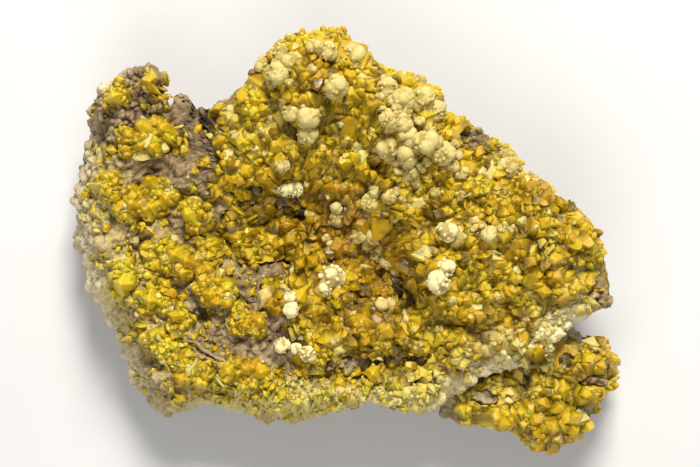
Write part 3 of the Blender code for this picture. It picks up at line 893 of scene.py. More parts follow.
@dataclass(frozen=True)
class Mosaic:
    """Crystals packed side by side on a loosened square lattice, seen by their upper faces."""

    spacing: float
    rise: float
    seed: int
    flat: float = 1.0
    steep: float = 1.55

    def lattice(self, ground: Ground, hills: Hills, x: Array, y: Array) -> dict[str, Array]:
        """The lattice's crystals over points' box: an array of each quantity, by row and column.

        Args:
            ground: the height that the crystals stand on.
            hills: they lean away from a hill's middle.
            x: places across the face.
            y: places up the face.
        Returns:
            Place, top height, lean, turn, tone, milk and reach of each crystal, and the first cell.
        """
        first_x = math.floor(x.min() / self.spacing) - 1
        first_y = math.floor(y.min() / self.spacing) - 1
        columns = math.ceil(x.max() / self.spacing) + 2 - first_x
        rows = math.ceil(y.max() / self.spacing) + 2 - first_y
        row, column = np.indices((rows, columns))
        row, column = row + first_y, column + first_x
        cells = np.stack([column.ravel(), row.ravel()], axis=1)
        dice = [hash_unit(cells, self.seed + k) for k in range(9)]
        place_x = (cells[:, 0] + 0.1 + 0.8 * dice[0]) * self.spacing
        place_y = (cells[:, 1] + 0.1 + 0.8 * dice[1]) * self.spacing
        _, _, bunch = nearest_cells(np.stack([place_x, place_y], axis=1), BUNCH_SIZE, 97)
        _, out_x, out_y = hills.at(place_x, place_y)
        own_x, own_y, own_tone = own_shares(bunch)
        tone = tone_at(place_x, place_y) + 0.28 * own_tone + 0.14 * (dice[6] - 0.5)
        values = {
            "x": place_x,
            "y": place_y,
            "top": ground(place_x, place_y) + self.rise * (0.2 + 0.8 * dice[2]),
            "lean_x": 0.5 * np.clip(out_x, -1, 1) + 0.6 * own_x + 0.7 * (dice[3] - 0.5),
            "lean_y": 0.5 * np.clip(out_y, -1, 1) + 0.6 * own_y + 0.7 * (dice[4] - 0.5),
            "turn": bunch * 37 % 1 * math.tau + 0.5 * dice[5],
            "tone": np.clip(tone, 0, 1),
            "milk": milk_at(place_x, place_y, dice[8]),
            "reach": self.flat * self.spacing * (0.08 + 0.4 * dice[7] ** 1.5),
        }
        table = {name: value.reshape(rows, columns) for name, value in values.items()}
        table["first"] = np.array([first_x, first_y])
        return table

    def faces_over(self, ground: Ground, hills: Hills, x: Array, y: Array) -> Skin:
        """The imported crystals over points.

        Over its own place a crystal is the lowest of its planes: an end face that falls along
        its lean and four sides at right angles, each gentler where it lies against the lean.
        Its reach is the half width of its end, so that a small one is pointed.  Of the nine
        nearest crystals the highest shows.

        Args:
            ground: the height that the crystals stand on.
            hills: they lean away from a hill's middle.
            x: places across the face.
            y: places up the face.
        Returns:
            The skin, with the gap down to the second highest crystal as its depth.
        """
        table = self.lattice(ground, hills, x, y)
        first = table.pop("first")
        column = np.floor(x / self.spacing).astype(int) - first[0]
        row = np.floor(y / self.spacing).astype(int) - first[1]
        best = np.full(len(x), -1e3)
        second = np.full(len(x), -1e3)
        tone = np.zeros(len(x))
        milk = np.zeros(len(x))
        for step_row, step_column in product((-1, 0, 1), repeat=2):
            cell = (row + step_row, column + step_column)
            one = {name: value[cell] for name, value in table.items()}
            from_x, from_y = x - one["x"], y - one["y"]
            height = one["top"] - from_x * one["lean_x"] - from_y * one["lean_y"]
            for side, share in enumerate((0.7, 1.2, 0.9, 1.0)):
                turn = one["turn"] + side * math.pi / 2
                away = from_x * np.cos(turn) + from_y * np.sin(turn)
                along_lean = one["lean_x"] * np.cos(turn) + one["lean_y"] * np.sin(turn)
                steep = np.clip(self.steep + 1.3 * along_lean, 0.8, 3.5)
                height = np.minimum(height, one["top"] + steep * (one["reach"] * share - away))
            higher = height > best
            second = np.where(higher, best, np.maximum(second, height))
            tone = np.where(higher, one["tone"], tone)
            milk = np.where(higher, one["milk"], milk)
            best = np.where(higher, height, best)
        return Skin(best, tone, milk, best - second)


@dataclass
class Skin:
    """The top of packed crystals at points: height, colour marks, and how far they stand out."""

    height: Array
    tone: Array
    milk: Array
    depth: Array

    def under(self, other: Skin) -> Skin:
        """The higher of two skins at each point, no deeper than the step between them."""
        higher = other.height > self.height
        step = np.abs(other.height - self.height)
        return Skin(
            np.where(higher, other.height, self.height),
            np.where(higher, other.tone, self.tone),
            np.where(higher, other.milk, self.milk),
            np.minimum(np.where(higher, other.depth, self.depth), step),
        )


def packed_skin(
    mosaics: tuple[Mosaic, ...], ground: Ground, hills: Hills, x: Array, y: Array
) -> Skin:
    """The highest of several mosaics at points, with a depth mark from 0 in crevices to 1, which
    paints shade into the crevices and onto the hills' outer slopes.
    """
    skin = mosaics[0].faces_over(ground, hills, x, y)
    for mosaic in mosaics[1:]:
        skin = skin.under(mosaic.faces_over(ground, hills, x, y))
    _, out_x, out_y = hills.at(x, y)
    # Painted shade: the depth mark is lowered in the crevices and on the hills' outer slopes.
    shade = np.clip(np.hypot(out_x, out_y), 0, 1) ** 2.5
    skin.depth = (0.12 + 0.88 * np.clip(skin.depth / 2.0, 0, 1)) * (1 - 0.65 * shade)
    return skin


SLAB_MOSAICS = (Mosaic(7.4, 7.0, 311), Mosaic(5.0, 4.6, 411))
LOBE_MOSAICS = (Mosaic(7.8, 8.6, 311), Mosaic(5.0, 5.0, 411))
CLUSTER_MOSAICS = (Mosaic(6.6, 10.5, 511, 0.4, 1.9), Mosaic(4.4, 6.4, 611, 0.4, 1.9))


@dataclass(frozen=True)
class Druse:
    """A crust of crystals over one rock mass: a packed skin and single crystals standing out."""

    mass: RockMass
    name: str
    cells: int
    hills: Hills
    lean: float = 0.0
    mosaics: tuple[Mosaic, ...] = SLAB_MOSAICS
    bed: float = 5.0
    jag: float = 1.6
    border_width: float = 9.0

    def height(self, x: Array, y: Array) -> Array:
        """Height of the ground under the crystals: the rock's front and hills that end inside it."""
        share, _, reach = self.mass.share_at(x, y)
        width = self.border_width / self.mass.edge_at(np.zeros(1))[0]
        inside = np.clip((crust_reach(reach) - share) / width, 0, 1)
        rise, _, _ = self.hills.at(x, y)
        rise = rise * (0.1 + 0.9 * inside) * (1 - bare_at(x, y))
        return self.mass.front_height(x, y) + rise - CRUST_SINK + 3.5 * inside

    def skin(self, x: Array, y: Array) -> Skin:
        """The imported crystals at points; bare places lie under the rock."""
        skin = packed_skin(self.mosaics, self.height, self.hills, x, y)
        bare = bare_at(x, y)
        skin.height = skin.height * (1 - bare) + (self.mass.front_height(x, y) - BARE_SINK) * bare
        return skin

    def floor(self, rows: slice = slice(None)) -> Surface:
        """The closed skin: some rows of a disc grid, a border down into the rock and a fan."""
        disc = disc_grid(self.cells, self.lean, rows)
        bearing, border = disc.bearing, disc.border
        radius, _, reach = self.mass.edge_at(bearing)
        edge_places = radius[:, None] * np.stack([np.cos(bearing), np.sin(bearing)], axis=1)
        radius = radius + self.jag * fractal(edge_places, 8, 3, 93)
        ragged = 0.03 * np.sin(9 * bearing + 2 * np.sin(5 * bearing)) + 0.02 * np.sin(31 * bearing)
        ragged *= np.clip((EDGE_REACH - reach) / EDGE_RAMP, 0, 1)
        share = disc.share * crust_reach(reach + ragged)
        x = self.mass.heart[0] + share * radius * np.cos(bearing)
        y = self.mass.heart[1] + share * radius * np.sin(bearing)
        skin = self.skin(x, y)
        edge = np.stack([x, y, self.mass.front_height(x, y) - self.bed], axis=1)[border]
        depth = self.mass.foot_level + 0.2 * self.mass.level
        middle = np.array([[edge[:, 0].mean(), edge[:, 1].mean(), depth]])
        points = np.concatenate([np.stack([x, y, skin.height], axis=1), edge, middle])
        under = len(x) + np.arange(len(border))
        wall = np.concatenate([border, under])[grid_triangles(2, len(border), wraps=True)]
        fan = np.stack([under, np.roll(under, -1), np.full(len(under), len(points) - 1)], axis=1)
        faces = np.concatenate([disc.faces, wall[:, ::-1], fan[:, ::-1]])
        pad = (0, len(points) - len(x))
        # The depth mark carries the skin's painted shade in the crevices.
        marks = {name: np.pad(getattr(skin, name), pad) for name in ("tone", "depth", "milk")}
        surface = Surface(points, faces, marks, np.arange(len(faces)) < len(disc.faces))
        surface.face_outwards()
        return surface

    def seeds(
        self, spacing: float, sizes: tuple[float, float], balls: list[Ball], seed: int
    ) -> Seeds:
        """Crystal places on a loosened honeycomb, thinned on bare rock and under nodules.

        Where the crust comes near the edge, crystals go on over the rock's shoulder.

        Args:
            spacing: distance between neighbours.
            sizes: smallest and largest half width.
            balls: nodules that the crystals leave room for.
            seed: of the random numbers.
        Returns:
            The seeds.
        """
        dice = np.random.default_rng(seed)
        x, y = honeycomb(self.mass, spacing, dice)
        share, _, reach = self.mass.share_at(x, y)
        limit = crust_reach(reach) + 0.02 * smooth_noise(paired(x, y), 9, 91)
        keep = share < limit
        keep &= dice.random(len(x)) > bare_at(x, y)
        x, y = x[keep], y[keep]
        for ball in balls:
            clear = np.hypot(x - ball.x, y - ball.y) > ball.radius * 0.95
            x, y = x[clear], y[clear]
        _, out_x, out_y = self.hills.at(x, y)
        share, _, _ = self.mass.share_at(x, y)
        past = np.clip((share - 0.86) / 0.14, 0, 1) * 1.3
        bearing = np.arctan2(y - self.mass.heart[1], x - self.mass.heart[0])
        spill = (past * np.cos(bearing), past * np.sin(bearing))
        return bunched_seeds(x, y, self.skin(x, y).height, (out_x, out_y), sizes, dice, spill)


    def edge_seeds(self, spacing: float, sizes: tuple[float, float], seed: int) -> Seeds:
        """Crystals that stand sideways out of the crust's steep border, in rows one over another.

        Rows climb the border from its foot by a spacing at a time, as far as the crust goes up
        there, and the crystals of a row lie a spacing apart along the edge line.

        Args:
            spacing: distance between neighbours.
            sizes: smallest and largest half width.
            seed: of the random numbers.
        Returns:
            The seeds.
        """
        dice = np.random.default_rng(seed)
        edge = np.array(self.mass.edge)
        line = np.linalg.norm(np.roll(edge, -1, axis=0)[:, :2] - edge[:, :2], axis=1).sum()
        around, rows = int(line / spacing), int(EDGE_WALL / spacing)
        bearing = np.linspace(-math.pi, math.pi, around * EDGE_CUTS, endpoint=False)
        radius, _, _ = self.mass.edge_at(bearing)
        outward = np.diff(radius, append=radius[0])
        walk = np.hypot(outward, radius * math.tau / len(bearing)).cumsum()
        bearing = np.interp(np.arange(around) / around * walk[-1], walk, bearing)
        strayed = dice.normal(0, 0.3 * spacing, around * rows) / radius.mean()
        bearing = np.tile(bearing, rows) + strayed
        level = np.repeat(np.arange(rows), around) + dice.uniform(0, 1, around * rows)
        radius, rim, reach = self.mass.edge_at(bearing)
        share = 0.985 - 0.012 * level
        x = self.mass.heart[0] + share * radius * np.cos(bearing)
        y = self.mass.heart[1] + share * radius * np.sin(bearing)
        z = rim - 3 + level * spacing
        keep = (crust_reach(reach) > 0.99) & (z < self.skin(x, y).height - 1)
        x, y, z, bearing = x[keep], y[keep], z[keep], bearing[keep]
        none = np.zeros_like(x)
        seeds = bunched_seeds(x, y, z, (none, none), sizes, dice)
        outward = np.stack([np.cos(bearing), np.sin(bearing), 0 * bearing + 0.25], axis=1)
        seeds.leans = 0.6 * seeds.leans + 1.1 * outward
        return seeds


def honeycomb(mass: RockMass, spacing: float, dice: Dice) -> tuple[Array, Array]:
    """Points of a honeycomb over a rock mass's box, each moved at random by up to 0.45 spacings."""
    edge = np.array(mass.edge)
    rows = np.arange(edge[:, 1].min(), edge[:, 1].max(), spacing * 0.866)
    columns = np.arange(edge[:, 0].min(), edge[:, 0].max(), spacing)
    y, x = np.meshgrid(rows, columns, indexing="ij")
    x = x + (np.arange(len(rows)) % 2)[:, None] * spacing / 2
    x = x.ravel() + dice.uniform(-0.45, 0.45, x.size) * spacing
    y = y.ravel() + dice.uniform(-0.45, 0.45, y.size) * spacing
    return x, y


def scattered_hills(
    mass: RockMass,
    spacing: float,
    radius: tuple[float, float],
    height: tuple[float, float],
    seed: int,
    named: tuple[tuple[float, float, float, float], ...] = (),
) -> Hills:
    """Hills on a loosened honeycomb over a rock mass, and some more at named places."""
    dice = np.random.default_rng(seed)
    x, y = honeycomb(mass, spacing, dice)
    more = np.array(named).reshape(-1, 4)
    return Hills(
        np.concatenate([x, more[:, 0]]),
        np.concatenate([y, more[:, 1]]),
        np.concatenate([dice.uniform(*radius, len(x)), more[:, 2]]),
        np.concatenate([dice.uniform(*height, len(x)), more[:, 3]]),
    )


def milk_at(x: Array, y: Array, dice: Array) -> Array:
    """How milky crystals are: most of those on the pale patches and a few of the others."""
    pale = np.clip(total_of(PALE, x, y) * 0.9, 0, 1) * (dice < 0.65)
    return np.maximum(pale, (dice > 0.95) * 0.7)


def tone_at(x: Array, y: Array) -> Array:
    """Colour numbers from 0, lemon, to 1, amber, that change slowly over the face; the hollow patches
    push them towards amber as painted shade.
    """
    region = 0.37 + 0.17 * smooth_noise(paired(x, y), 24, 71)
    return region + total_of(AMBER_AND_HOLLOW_SHADE, x, y) - 0.4 * np.clip(total_of(LEMON, x, y), 0, 1)


# ---- separate clusters ----


@dataclass(frozen=True)
class Cluster:
    """Sulfur crystals that fan out of one spot on bare rock, over a few low knolls."""

    name: str
    x: float
    y: float
    spread: float
    turn: float = 0.0
    stretch: float = 1.2
    cells: int = 60
    mosaics: tuple[Mosaic, ...] = CLUSTER_MOSAICS

    @property
    def node(self) -> str:
        """The name of the solid that it stands for."""
        return "sulfur_cluster_" + self.name

    @property
    def mass(self) -> RockMass:
        """The rock mass that it stands on."""
        return HORN if self.name.startswith("horn") else SLAB

    def knolls(self, dice: Dice) -> Hills:
        """Its knolls, at golden angles in an oval; the outer ones are lower."""
        count = max(4, round(self.spread * 0.85))
        number = np.arange(count)
        bearing = number * GOLDEN_TURN + dice.uniform(0, math.tau)
        out = np.sqrt((number + 0.2) / count) * dice.uniform(0.75, 1.15, count)
        along = self.spread * 0.85 * self.stretch * out * np.cos(bearing)
        across = self.spread * 0.85 / self.stretch * out * np.sin(bearing)
        angle = math.radians(self.turn)
        x = self.x + along * math.cos(angle) - across * math.sin(angle)
        y = self.y + along * math.sin(angle) + across * math.cos(angle)
        radius = dice.uniform(3.4, 5.8, count)
        height = dice.uniform(3.5, 8.5, count) * (1 - 0.45 * out)
        return Hills(x, y, radius, height)

    def build(self, seed: int, rock: HostRock) -> Surface:
        """A body of packed crystals over its knolls and single crystals that stand out of it."""
        dice = np.random.default_rng(seed)
        hills = self.knolls(dice)
        parts = [self.body(hills)]
        for spacing, sizes in ((6.4, (2.2, 3.9)), (4.8, (1.3, 2.4))):
            x, y = honeycomb(self.mass, spacing, dice)
            _, out_x, out_y = hills.at(x, y)
            share, _, _ = self.mass.share_at(x, y)
            inside = (np.hypot(out_x, out_y) < dice.uniform(0.8, 1.2, len(x))) & (share < 0.98)
            x, y, out_x, out_y = x[inside], y[inside], out_x[inside], out_y[inside]
            rise, _, _ = hills.at(x, y)
            knoll_top = self.mass.front_height(x, y) + rise
            top = np.maximum(rock.skin_height(self.mass, x, y), knoll_top) + 1.2
            seeds = bunched_seeds(x, y, top, (out_x, out_y), sizes, dice)
            # Painted shade on the crystals far out on a knoll, weaker than on the crust.
            seeds.shade *= 0.6
            parts.append(grown(seeds.with_twins(1, dice), crystal_forms(COARSE_FORMS), dice))
        return joined(parts)

    def ground(self, hills: Hills) -> Ground:
        """The height that its packed crystals stand on: the rock with the knolls."""
        return lambda x, y: self.mass.front_height(x, y) + hills.at(x, y)[0] - 0.5

    def body(self, hills: Hills) -> Surface:
        """The closed lump: packed crystals on a disc grid that dips into the rock round them."""
        disc = disc_grid(self.cells)
        reach = self.spread * 0.9 * self.stretch + 7
        x = self.x + disc.share * reach * np.cos(disc.bearing)
        y = self.y + disc.share * reach * np.sin(disc.bearing)
        share, _, _ = self.mass.share_at(x, y)
        back = np.minimum(1, 0.97 / np.maximum(share, 0.01))
        x = self.mass.heart[0] + (x - self.mass.heart[0]) * back
        y = self.mass.heart[1] + (y - self.mass.heart[1]) * back
        skin = packed_skin(self.mosaics, self.ground(hills), hills, x, y)
        _, out_x, out_y = hills.at(x, y)
        past_knolls = (np.hypot(out_x, out_y) - 1.05) / 0.35
        dip = np.clip(np.maximum(past_knolls, (share - 0.95) / 0.04), 0, 1)
        base = self.mass.front_height(x, y) - 6.0
        top = skin.height * (1 - dip) + (base + 1) * dip
        top[disc.border] = base[disc.border]
        lowest = [[self.x, self.y, base.min() - 2.0]]
        points = np.concatenate([np.stack([x, y, top], axis=1), lowest])
        hub = np.full(len(disc.border), len(x))
        fan = np.stack([disc.border, np.roll(disc.border, -1), hub], axis=1)
        faces = np.concatenate([disc.faces, fan[:, ::-1]])
        # The depth mark carries the skin's painted shade in the crevices, made lighter.
        marks = {
            "tone": np.append(skin.tone, 0),
            "milk": np.append(0.4 * skin.milk, 0),
            "depth": np.append(0.2 + 0.8 * skin.depth, 0),
        }
        return Surface(points, faces, marks, np.arange(len(faces)) < len(disc.faces))


@dataclass(frozen=True)
class StrayCrystals:
    """Small crystals scattered over the bare rock, thickest on the patches that carry sulfur."""

    layers: tuple[tuple[RockMass, float, tuple[float, float]], ...] = (
        (SLAB, 5.4, (1.6, 3.3)), (SLAB, 3.6, (0.8, 1.6)), (HORN, 4.2, (0.9, 2.2)),
    )
    lean: float = 0.4

    def build(self, rock: HostRock) -> Surface:
        """Honeycombs on the slab and the horn, thinned by the patches' strength."""
        dice = np.random.default_rng(77)
        parts = []
        for mass, spacing, sizes in self.layers:
            x, y = honeycomb(mass, spacing, dice)
            share, _, reach = mass.share_at(x, y)
            wanted = total_of(SULFUR_ON_ROCK, x, y)
            wanted = wanted + 0.5 * smooth_noise(paired(x, y), 9, 95)
            keep = (share < 0.975) & (share > reach) & (dice.random(len(x)) < 0.9 * wanted)
            keep &= reach < EDGE_REACH
            keep |= (share < reach) & (bare_at(x, y) > 0.3) & (dice.random(len(x)) < 0.3)
            x, y = x[keep], y[keep]
            out = tuple(self.lean * smooth_noise(paired(x, y), 7, seed) for seed in (33, 34))
            seeds = bunched_seeds(x, y, rock.skin_height(mass, x, y), out, sizes, dice)
            parts.append(grown(seeds.with_twins(1, dice), crystal_forms(MIXED_FORMS, 3), dice))
        return joined(parts)


@dataclass(frozen=True)
class Notable:
    """One large crystal: place, the way it points, its tilt from upright, size and colour marks."""

    x: float
    y: float
    bearing: float
    tilt: float
    size: float
    tone: float
    milk: float = 0.0


BLADES = tuple(Notable(*row) for row in (
    (137, -9, -85, 65, 4.0, 0.1, 0.9), (89, -7, -15, 75, 3.6, 0.1, 0.8),
    (119, -4, 40, 60, 4.2, 0.25, 0.3), (-109, 98, 70, 50, 4.0, 0.4), (-110, 91, -20, 50, 3.6, 0.5),
    (-111, 85, -30, 55, 3.8, 0.4), (-118, 101, 100, 45, 3.8, 0.3), (-97, -5, -10, 60, 5.0, 0.25),
    (-101, 68, 20, 50, 4.0, 0.0, 0.6), (-30, -52, 120, 55, 4.0, 0.2, 0.3),
    (-52, 6, -60, 50, 4.2, 0.4), (-66, 20, 150, 50, 4.4, 0.4), (-58, 14, 20, 55, 4.0, 0.35),
    (70, 22, -80, 55, 3.6, 0.4), (-140, 84, 60, 50, 3.6, 0.3), (-130, 88, 120, 50, 3.8, 0.35),
    (-74, -84, -40, 60, 3.8, 0.1, 0.5),
))
BLOCKS = tuple(Notable(*row) for row in (
    (-44, -37, 20, 25, 6.0, 0.75), (-38, -34, -60, 35, 4.6, 0.6), (-25, -77, 0, 30, 5.6, 0.7),
    (-97, -74, -60, 35, 5.2, 0.6), (-92, -82, -50, 40, 5.0, 0.55),
    (-104, -65, 120, 40, 4.4, 0.3, 0.9), (-143, 33, -30, 35, 5.6, 0.1),
    (-80, 77, 150, 35, 4.4, 0.45), (-76, 80, 100, 40, 5.0, 0.4), (-70, 74, 60, 35, 4.8, 0.35, 0.3),
    (-119, 26, 160, 35, 5.4, 0.45), (-108, 20, -30, 45, 4.6, 0.4), (108, 32, 60, 30, 6.0, 0.75),
    (118, 26, -20, 35, 6.4, 0.8), (126, 22, 20, 40, 5.4, 0.7), (89, 32, 90, 25, 5.2, 0.5),
    (95, 17, 0, 25, 5.2, 0.6), (86, 22, -120, 30, 5.2, 0.75), (140, 8, 20, 40, 5.6, 0.35),
    (134, 0, -60, 45, 5.0, 0.3), (146, -4, -20, 45, 5.0, 0.25), (-116, -32, 180, 40, 5.0, 0.4),
    (-106, -10, -70, 40, 5.2, 0.2), (-80, -28, -30, 40, 5.0, 0.4), (-62, -46, -60, 45, 4.6, 0.35),
    (-101, -54, -90, 50, 4.6, 0.0), (144, -70, 20, 35, 6.0, 0.3), (130, -104, -60, 35, 6.4, 0.45),
    (118, -98, 160, 35, 5.6, 0.5), (112, -66, 100, 35, 5.0, 0.4), (140, -92, 0, 35, 5.4, 0.3),
    (136, -112, -50, 45, 5.6, 0.4), (2, -22, 60, 30, 5.0, 0.4), (-2, 54, 100, 35, 4.8, 0.3),
    (-60, 42, 140, 40, 4.8, 0.4), (40, -52, 30, 30, 5.0, 0.35), (72, -42, -40, 35, 5.2, 0.4),
    (98, -28, 10, 35, 5.4, 0.3), (64, -58, -70, 35, 4.6, 0.3), (12, -50, 100, 35, 4.8, 0.5),
    (-12, -58, -80, 40, 4.6, 0.3), (80, 48, 120, 35, 4.6, 0.4),
))


@dataclass(frozen=True)
class LargeCrystals:
    """The large crystals that catch the eye one by one, each with a twin grown into it."""

    crystals: tuple[Notable, ...]
    habits: tuple[Habit, ...]

    def build(self, slab: Druse, lobe: Druse, rock: HostRock) -> Surface:
        """Each stands on the crust, the lobe's crust or the rock, whichever is highest there."""
        dice = np.random.default_rng(len(self.crystals))
        table = np.array([astuple(crystal) for crystal in self.crystals])
        x, y, bearing, tilt, size, tone, milk = table.T
        share, _, reach = SLAB.share_at(x, y)
        on_lobe = (x > 80) & (y < -60) & (share > 1)
        on_horn = (x < -105) & (y > 75)
        crusted = np.where(share < crust_reach(reach), slab.skin(x, y).height, 0)
        top = np.maximum(crusted, rock.skin_height(SLAB, x, y))
        top = np.where(on_horn, rock.skin_height(HORN, x, y), top)
        top = np.where(on_lobe, lobe.skin(x, y).height, top)
        turn, lean = np.radians(bearing), np.radians(tilt)
        aside = np.sin(lean)
        leans = np.stack([np.cos(turn) * aside, np.sin(turn) * aside, np.cos(lean)], axis=1)
        feet = np.stack([x, y, top], axis=1) - leans * (0.3 * size)[:, None]
        seeds = Seeds(feet, leans, turn, size * 0.8, tone, milk, np.zeros(len(x)))
        return grown(seeds.with_twins(2, dice), crystal_forms(self.habits), dice)


@dataclass(frozen=True)
class Laminae:
    """Thin ribs of rock, side by side, that stand out of the lower left of the face."""

    corner: tuple[float, float] = (-98, -58)
    bearing: float = -27.0
    step: float = 3.4
    count: int = 6
    length: tuple[float, float] = (16.0, 34.0)
    half_width: float = 1.15
    half_height: float = 2.4
    along: int = 60
    around: int = 12

    def build(self, rock: HostRock) -> Surface:
        """The ribs, each a flattened tube along a slightly bent line.

        At the share s of its length a rib is as thick as the root of 1 - (2 s - 1)^6, so that
        both ends close, and its line and its thickness waver with noise.
        """
        dice = np.random.default_rng(9)
        angle = math.radians(self.bearing)
        forward = np.array([math.cos(angle), math.sin(angle)])
        aside = np.array([math.sin(angle), -math.cos(angle)])
        share = np.linspace(0, 1, self.along)
        turn = np.linspace(0, math.tau, self.around, endpoint=False)
        ribs = []
        for number in range(self.count):
            length = dice.uniform(*self.length)
            start = np.array(self.corner) + aside * self.step * number
            start = start + forward * dice.uniform(0, 7)
            places = np.stack([share * length, np.full(self.along, 9.0 * number)], axis=1)
            drift = dice.uniform(-0.09, 0.09) * share * length + 1.2 * fractal(places, 7, 3, 61)
            line = start + share[:, None] * length * forward + drift[:, None] * aside
            thick = np.sqrt(np.maximum(1 - (2 * share - 1) ** 6, 0))
            thick = thick * (1 + 0.6 * fractal(places, 3, 2, 62))
            thick = np.maximum(thick, 0) * dice.uniform(0.6, 1.2)
            top = rock.skin_height(SLAB, line[:, 0], line[:, 1])
            level = np.convolve(np.pad(top, 7, mode="edge"), np.ones(15) / 15, mode="valid") + 1.0
            across = self.half_width * thick[:, None] * np.cos(turn)
            up = self.half_height * thick[:, None] * np.sin(turn)
            around_x = line[:, :1] + aside[0] * across
            around_y = line[:, 1:] + aside[1] * across
            points = np.stack([around_x, around_y, level[:, None] + up], axis=-1).reshape(-1, 3)
            faces = grid_triangles(self.along, self.around, wraps=True)
            # Painted light and shade: each rib's mark is high on its top and low underneath, so the
            # finish makes it tan above and dark below.
            pit = np.clip(0.35 + 0.5 * np.tile(np.sin(turn), self.along), 0, 1)
            rib = Surface(points, faces, {"pit": pit}, np.ones(len(faces), dtype=bool))
            rib.face_outwards()
            ribs.append(rib)
        return joined(ribs)


CLUSTERS = (
    Cluster("horn", -136, 87, 6.5, 35, 1.3),
    Cluster("horn_tip", -115, 95, 5, -55, 1.4),
    Cluster("upper_left", -118, 61, 15, 20, 1.3),
    Cluster("left_bright", -143, 33, 8, -70, 1.3),
    Cluster("left_large", -119, 24, 17, 15, 1.35),
    Cluster("left_inner", -89, 15, 10, -50, 1.3),
    Cluster("middle_left", -106, -9, 14, -25, 1.4),
    Cluster("middle_inner", -83, -7, 8, 60, 1.3),
    Cluster("west", -114, -34, 10, 0, 1.4),
    Cluster("west_low", -100, -46, 7, -60, 1.4),
    Cluster("chain_high", -80, -29, 12, -40, 1.4),
    Cluster("chain_low", -61, -48, 10, -30, 1.35),
    Cluster("left_rim", -134, -22, 8, 80, 1.4),
    Cluster("lower_west", -112, -62, 9, -35, 1.3),
    Cluster("lower_left", -94, -76, 12, -50, 1.4),
    Cluster("lower_middle", -58, -79, 13, -15, 1.45),
)


# ---- cream nodules ----

NODULES: dict[str, tuple[Ball, ...]] = {
    "top_west": (Ball(-39, 111, 7.2), Ball(-32, 105, 6.6), Ball(-41, 98, 7.2), Ball(-50, 104, 5)),
    "crown": (Ball(-19, 114, 5.6), Ball(-11, 111, 6.4)),
    "crown_east": (Ball(4, 110, 7.2),),
    "upper": (Ball(-6, 90, 7.8),),
    "upper_west": (Ball(-32, 76, 6.4), Ball(-22, 73, 7.8), Ball(-23, 63, 6.8)),
    "mid_high": (Ball(-38, 45, 5.4),),
    "mid_west": (Ball(-38, 31, 4.5), Ball(-31, 31, 5.4)),
    "ridge_top": (Ball(24, 90, 6.6), Ball(33, 83, 7.2), Ball(45, 84, 7.4), Ball(53, 76, 7)),
    "ridge_main": (Ball(25, 55, 8.4), Ball(36, 51, 7.6), Ball(46, 57, 8.4), Ball(57, 51, 7)),
    "ridge_side": (Ball(24, 71, 5.4),),
    "ridge_foot": (Ball(14, 23, 6), Ball(17, 30, 4.8), Ball(25, 26, 4.8)),
    "east": (Ball(96, 44, 6.6), Ball(95, 51, 4.6)),
    "centre": (Ball(-6, 20, 4.2), Ball(-6, 14, 4.8)),
    "chain_high": (Ball(7, 4, 6), Ball(17, 3, 6.2)),
    "chain_low": (Ball(19, -9, 6), Ball(26, -12, 6)),
    "large": (Ball(-9, -22, 9), Ball(-13, -29, 4.8)),
    "arete_high": (Ball(59, 6, 7.2),),
    "arete_low": (Ball(58, -16, 6.6), Ball(54, -24, 7.8)),
    "plateau": (Ball(84, 4, 5.4),),
    "floor": (Ball(21, -38, 4.8),),
    "low_west": (Ball(-33, -34, 4.8), Ball(-33, -41, 5.4)),
    "bottom": (Ball(-38, -62, 5.4), Ball(-30, -64, 3.9), Ball(-23, -67, 5.4)),
}

SMALL_NODULES = tuple(Ball(*row) for row in (
    (-50, 108, 3.2), (-20, 100, 3.6), (-3, 69, 3), (-50, 65, 2.4), (-54, 54, 2.7), (-69, 77, 4),
    (-22, 16, 3.6), (43, 95, 4.6), (64, 51, 4.8), (63, 44, 4), (28, 26, 3.2), (33, 25, 3),
    (101, 43, 4), (52, 29, 3.6), (-12, 2, 3), (-10, -2, 2.8), (30, -18, 3.4), (80, 9, 3),
    (90, 7, 2.7), (96, 7, 2.4), (111, 8, 2), (100, -17, 3), (62, -35, 3.6), (89, -33, 2.4),
    (86, -47, 2.4), (87, -61, 2.1), (-7, -59, 3.2), (36, -60, 2.4), (39, -62, 2.2), (42, -64, 2.4),
    (44, -61, 2), (9, 9, 3.4), (12, -2, 3.6), (24, 4, 3), (-44, 92, 3.4), (-28, 112, 3.6),
))


@dataclass(frozen=True)
class Swarm:
    """Small nodules that crowd along a straight stretch and grow over each other."""

    start: tuple[float, float]
    end: tuple[float, float]
    half_width: float
    count: int
    radius: tuple[float, float]
    seed: int

    def balls(self) -> list[Ball]:
        """Its nodules: random shares of the way to the end, and bell-shaped offsets across."""
        dice = np.random.default_rng(self.seed)
        share = dice.random(self.count)
        start, end = np.array(self.start), np.array(self.end)
        along = (end - start) / np.linalg.norm(end - start)
        across = np.array([-along[1], along[0]])
        offset = dice.normal(0, 0.5, self.count) * self.half_width
        places = start + share[:, None] * (end - start) + offset[:, None] * across
        sizes = dice.uniform(*self.radius, self.count)
        return [Ball(float(x), float(y), float(size)) for (x, y), size in zip(places, sizes)]


SWARMS = (
    Swarm((20, 92), (56, 76), 8, 14, (2.6, 4.6), 1),
    Swarm((26, 88), (34, 56), 9, 20, (2.8, 4.8), 2),
    Swarm((34, 62), (62, 48), 9, 16, (2.6, 4.6), 3),
    Swarm((24, 54), (46, 40), 8, 14, (2.6, 4.4), 4),
    Swarm((58, 56), (66, 34), 6, 9, (2.4, 4.0), 5),
    Swarm((-44, 112), (-30, 96), 9, 9, (2.4, 4.0), 6),
    Swarm((-24, 80), (-22, 60), 6, 8, (2.4, 3.8), 7),
    Swarm((8, 24), (30, 26), 5, 8, (2.2, 3.6), 8),
    Swarm((-2, 6), (24, -12), 6, 8, (2.0, 3.4), 9),
    Swarm((70, 6), (98, 8), 4, 5, (1.8, 2.8), 10),
)


WHITE_NODULES = (
    (-10, -23), (59, 6), (58, -16), (54, -24), (-33, -40), (-36, -62), (-24, -67), (-33, 31),
)
WHITE_REACH = 9.0


